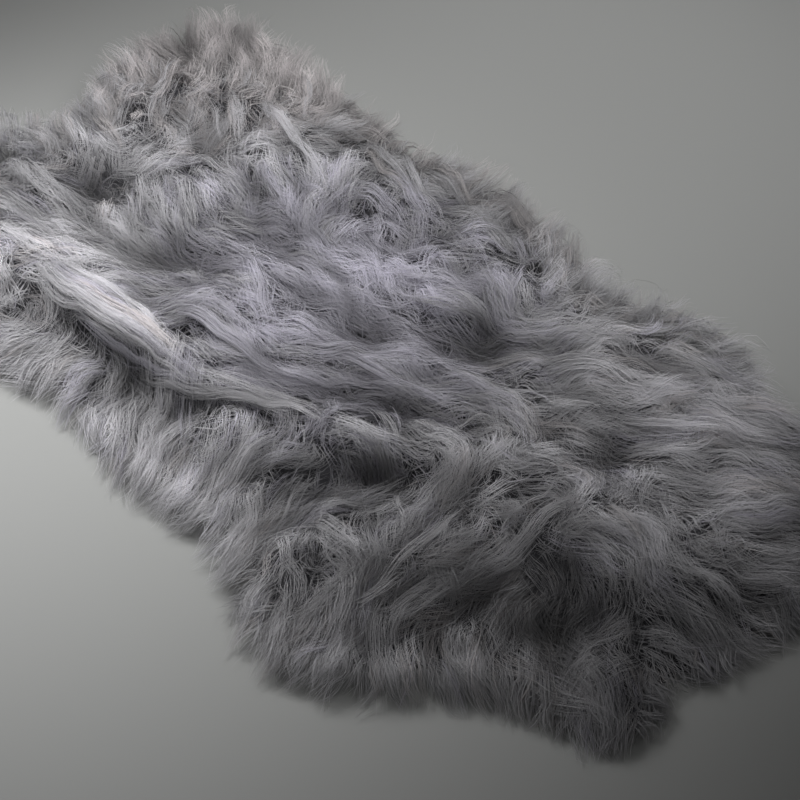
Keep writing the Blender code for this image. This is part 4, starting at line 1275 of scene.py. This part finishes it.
def plug(tree, socket, value):
    """Gives a socket another's output, a number, or a colour of three parts."""
    if isinstance(value, bpy.types.NodeSocket):
        tree.links.new(value, socket)
    else:
        socket.default_value = (*value, 1.0) if isinstance(value, tuple) else value


def add_node(tree, kind, inputs, **settings):
    """A node with these settings and inputs, which are given by name or by number."""
    node = tree.nodes.new(kind)
    for key, value in settings.items():
        setattr(node, key, value)
    for key, value in inputs.items():
        plug(tree, node.inputs[key], value)
    return node


def math_node(tree, operation, *values):
    """What a Math node makes of one or two values."""
    return add_node(tree, "ShaderNodeMath", dict(enumerate(values)), operation=operation).outputs[0]


def mixed(tree, factor, first, second, blend="MIX"):
    """The colour between two colours, or that of the first times the second."""
    inputs = {0: factor, 6: first, 7: second}
    return add_node(tree, "ShaderNodeMix", inputs, data_type="RGBA", blend_type=blend).outputs[2]


def noise_node(tree, place, scale, detail):
    """A noise's value at a place."""
    inputs = {"Vector": place, "Scale": scale, "Detail": detail}
    return add_node(tree, "ShaderNodeTexNoise", inputs).outputs[0]


def object_coords(tree):
    return add_node(tree, "ShaderNodeTexCoord", {}).outputs["Object"]


def wool_tone(tree, column):
    """The map column's hue and brightness."""
    hue = math_node(tree, "FLOOR", math_node(tree, "DIVIDE", column, float(SHADES)))
    shade = math_node(tree, "MODULO", column, float(SHADES))
    tone = mixed(tree, math_node(tree, "GREATER_THAN", hue, 0.5), LAVENDER, NEUTRAL)
    tone = mixed(tree, math_node(tree, "GREATER_THAN", hue, 1.5), tone, WARM)
    return tone, math_node(tree, "ADD", math_node(tree, "MULTIPLY", shade, SHADE_STEP), DARKEST_SHADE)


def wool_streaks(tree, across, along):
    """Fine streaks along the hairs, as a factor of their brightness."""
    across = math_node(tree, "MULTIPLY", across, float(TINTS * STREAKS))
    along = math_node(tree, "MULTIPLY", along, STREAKS_ALONG)
    place = add_node(tree, "ShaderNodeCombineXYZ", {0: across, 1: along}).outputs[0]
    inputs = {"Value": noise_node(tree, place, *STREAK_NOISE), **STREAK_RANGE}
    return add_node(tree, "ShaderNodeMapRange", inputs).outputs[0]


def wool_material():
    """Colour by hue and shade across the map, and from roots dark with painted shade to pale tips along it.
    """
    material, tree, shader = new_material("wool", *WOOL_FINISH)
    coords = add_node(tree, "ShaderNodeUVMap", {}, uv_map="OFBake").outputs[0]
    across, along = add_node(tree, "ShaderNodeSeparateXYZ", {0: coords}).outputs[:2]
    column = math_node(tree, "FLOOR", math_node(tree, "MULTIPLY", across, float(TINTS)))
    tone, bright = wool_tone(tree, column)
    ramp = add_node(tree, "ShaderNodeValToRGB", {0: along})
    ramp.color_ramp.elements[0].color = (*WOOL_ROOT, 1.0)
    amount = math_node(tree, "MULTIPLY", bright, math_node(tree, "MULTIPLY", ramp.outputs[0], WOOL_LIGHT))
    amount = math_node(tree, "MULTIPLY", amount, wool_streaks(tree, across, along))
    colour = mixed(tree, 1.0, tone, amount, "MULTIPLY")
    plug(tree, shader.inputs["Base Color"], colour)
    through = add_node(tree, "ShaderNodeBsdfTranslucent", {"Color": colour}).outputs[0]
    both = add_node(tree, "ShaderNodeMixShader", {0: TRANSLUCENCY, 1: shader.outputs[0], 2: through})
    plug(tree, tree.nodes["Material Output"].inputs["Surface"], both.outputs[0])
    return material


def mat_material():
    """The matted wool, coloured near-black as painted shade for its partings."""
    material, tree, shader = new_material("wool_mat", *MAT_FINISH)
    cloud = noise_node(tree, object_coords(tree), *MAT_CLOUD)
    plug(tree, shader.inputs["Base Color"], mixed(tree, cloud, *MAT_SHADE_COLOURS))
    return material


def hide_material():
    """Suede-finished hide: pale, with a fine nap and slow cloudy stains."""
    material, tree, shader = new_material("hide", *HIDE_FINISH)
    place = object_coords(tree)
    plug(tree, shader.inputs["Base Color"], mixed(tree, noise_node(tree, place, *HIDE_CLOUD), *HIDE_COLOURS))
    nap = {"Distance": NAP_DEPTH, "Strength": NAP_STRENGTH, "Height": noise_node(tree, place, *NAP)}
    plug(tree, shader.inputs["Normal"], add_node(tree, "ShaderNodeBump", nap).outputs[0])
    return material


# ---------------------------------------------------------------- pieces

HIDE_THICKNESS = 0.0025
HIDE_RINGS = 8
HIDE_SPOKES = 240
MAT_RINGS = 26
MAT_SPOKES = 220
MAT_SHARE = 0.50  # the mat's height, as a share of the wool's
MAT_SLOPE = 0.055  # how far in from the edge the mat reaches its height
MAT_UNEVEN = 0.004
MAT_BUMP_SIZE = 0.020
REGIONS = 6  # the long wool is this many pieces, from end to end


def add_piece(name, mesh, material):
    mesh.materials.append(material)
    piece = bpy.data.objects.new(name, mesh)
    bpy.context.scene.collection.objects.link(piece)
    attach(piece, "root")
    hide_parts(NODE)
    return piece


def spread_mesh(name, outline, rings, spokes, height_at, bottom):
    """A closed sheet over the outline: its top follows height_at and its underside is level."""
    step = len(outline) / spokes
    rim = outline[(np.arange(spokes) * step).astype(int)]
    levels = np.linspace(0.0, 1.0, rings + 1)[1:]
    plan = np.vstack([[[0.0, 0.0]], (levels[:, None, None] * rim[None]).reshape(-1, 2)])
    top = np.column_stack([plan, height_at(plan)])
    under = np.column_stack([rim, np.full(spokes, bottom)])
    faces = []
    for spoke in range(spokes):
        beside = (spoke + 1) % spokes
        faces.append((0, 1 + spoke, 1 + beside))
        for ring in range(rings):
            inner, outer = 1 + ring * spokes, 1 + (ring + 1) * spokes
            faces.append((inner + spoke, outer + spoke, outer + beside, inner + beside))
    faces.append(tuple(len(top) + spoke for spoke in reversed(range(spokes))))
    mesh = bpy.data.meshes.new(name)
    mesh.from_pydata(np.vstack([top, under]).tolist(), [], faces)
    mesh.update()
    mesh.shade_smooth()
    return mesh


def add_hide(outline):
    """The tanned skin, level on both faces."""

    def top(plan):
        return np.full(len(plan), HIDE_THICKNESS)

    mesh = spread_mesh("hide", outline, HIDE_RINGS, HIDE_SPOKES, top, 0.0)
    return add_piece("hide", mesh, hide_material())


def add_mat(outline, heights):
    """The matted wool close to the skin, near-black with painted shade, which shows where locks part."""

    def top(plan):
        uneven = [noise.noise(Vector((x, y, 0.0)) / MAT_BUMP_SIZE) for x, y in plan]
        inward = np.clip(inside_by(plan, outline) / MAT_SLOPE, 0.0, 1.0)
        return HIDE_THICKNESS + inward * (heights.at(plan) * MAT_SHARE + MAT_UNEVEN * np.array(uneven))

    mesh = spread_mesh("wool_mat", outline, MAT_RINGS, MAT_SPOKES, top, HIDE_THICKNESS * 0.5)
    return add_piece("wool_mat", mesh, mat_material())


def regions_of(locks):
    """Which piece each lock belongs to, by where its root is along the spine."""
    order = np.argsort(locks["guides"][:, 0, 0])
    region = np.empty(len(order), int)
    region[order] = np.arange(len(order)) * REGIONS // len(order)
    return region


def add_wool(outline, fields):
    """The long wool, in pieces from end to end."""
    chance = np.random.default_rng(SEED)
    layers = make_layers(outline, fields, chance)
    material = wool_material()
    pieces = []
    for region in range(REGIONS):
        parts = []
        for locks, kind in layers:
            parts.append(strips(chosen(locks, regions_of(locks) == region), kind, fields, chance))
        name = f"wool_{region + 1}"
        pieces.append(add_piece(name, make_mesh(name, parts), material))
    return pieces


# ---------------------------------------------------------------- the studio

# Soft boxes. Columns: name, place, what it faces, size in metres, power in watts, spread in radians.
LIGHTS = (
    ("left", (-0.80, -0.19, 0.99), (-0.20, -0.40, 0.0), 0.8, 3.1, 1.2),
    ("far", (0.10, 0.60, 0.89), (-0.28, 0.51, 0.0), 1.4, 3.5, 1.38),
)
WORLD_LIGHT = 0.05
FLOOR_HALF = 6.0
FLOOR_DROP = 0.0003  # how far the floor lies below the rug


def add_floor():
    mesh = bpy.data.meshes.new("floor")
    corners = [(x * FLOOR_HALF, y * FLOOR_HALF, 0.0) for x, y in ((-1, -1), (1, -1), (1, 1), (-1, 1))]
    mesh.from_pydata(corners, [], [(0, 1, 2, 3)])
    material, tree, shader = new_material("floor", *FLOOR_FINISH)
    plug(tree, shader.inputs["Base Color"], FLOOR_COLOUR)
    mesh.materials.append(material)
    floor = bpy.data.objects.new("floor", mesh)
    floor.location = (0.0, 0.0, -FLOOR_DROP)
    bpy.context.scene.collection.objects.link(floor)


def add_area_light(name, place, target, size, power, spread):
    data = bpy.data.lights.new(name, "AREA")
    data.shape = "DISK"
    data.size = size
    data.energy = power
    data.spread = spread
    light = bpy.data.objects.new(name, data)
    light.location = place
    direction = Vector(target) - Vector(place)
    light.rotation_euler = direction.to_track_quat("-Z", "Y").to_euler()
    bpy.context.scene.collection.objects.link(light)


def add_lights():
    for light in LIGHTS:
        add_area_light(*light)
    world = bpy.data.worlds.new("studio")
    world.use_nodes = True
    world.node_tree.nodes["Background"].inputs[0].default_value = (1.0, 1.0, 1.0, 1.0)
    world.node_tree.nodes["Background"].inputs[1].default_value = WORLD_LIGHT
    bpy.context.scene.world = world
    bpy.context.scene.view_settings.view_transform = "Standard"


# ---------------------------------------------------------------- the whole


def make_fields(node):
    """What the wool is like at each place: its height, edge, hollows, clumps, painted light and shade, and
    comb.
    """
    edge = edge_field()
    tops = height_field(node).smoothed(TOP_SMOOTHING)
    hollows = patch_field(HOLLOWS, tops)
    heights = lofty(tops, edge, hollows)
    comb = comb_field(heights)
    clumps = clump_field(comb, edge, np.random.default_rng(SEED + 1))
    heights = heaped(heights, clumps)
    return {
        "heights": heights,
        "slopes": heights.smoothed(NORMAL_SMOOTHING).slope(),
        "edge": edge,
        "hollows": hollows,
        "clumps": clumps,
        "painted_lights": patch_field(PAINTED_LIGHTS, heights),
        "comb": comb,
    }


def main():
    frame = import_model()
    add_camera()
    add_floor()
    add_lights()
    fields = make_fields(frame["nodes"][NODE])
    outline = hide_outline()
    hide = add_hide(outline)
    mat = add_mat(outline, fields["heights"])
    wool = add_wool(outline, fields)
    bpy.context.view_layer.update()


main()
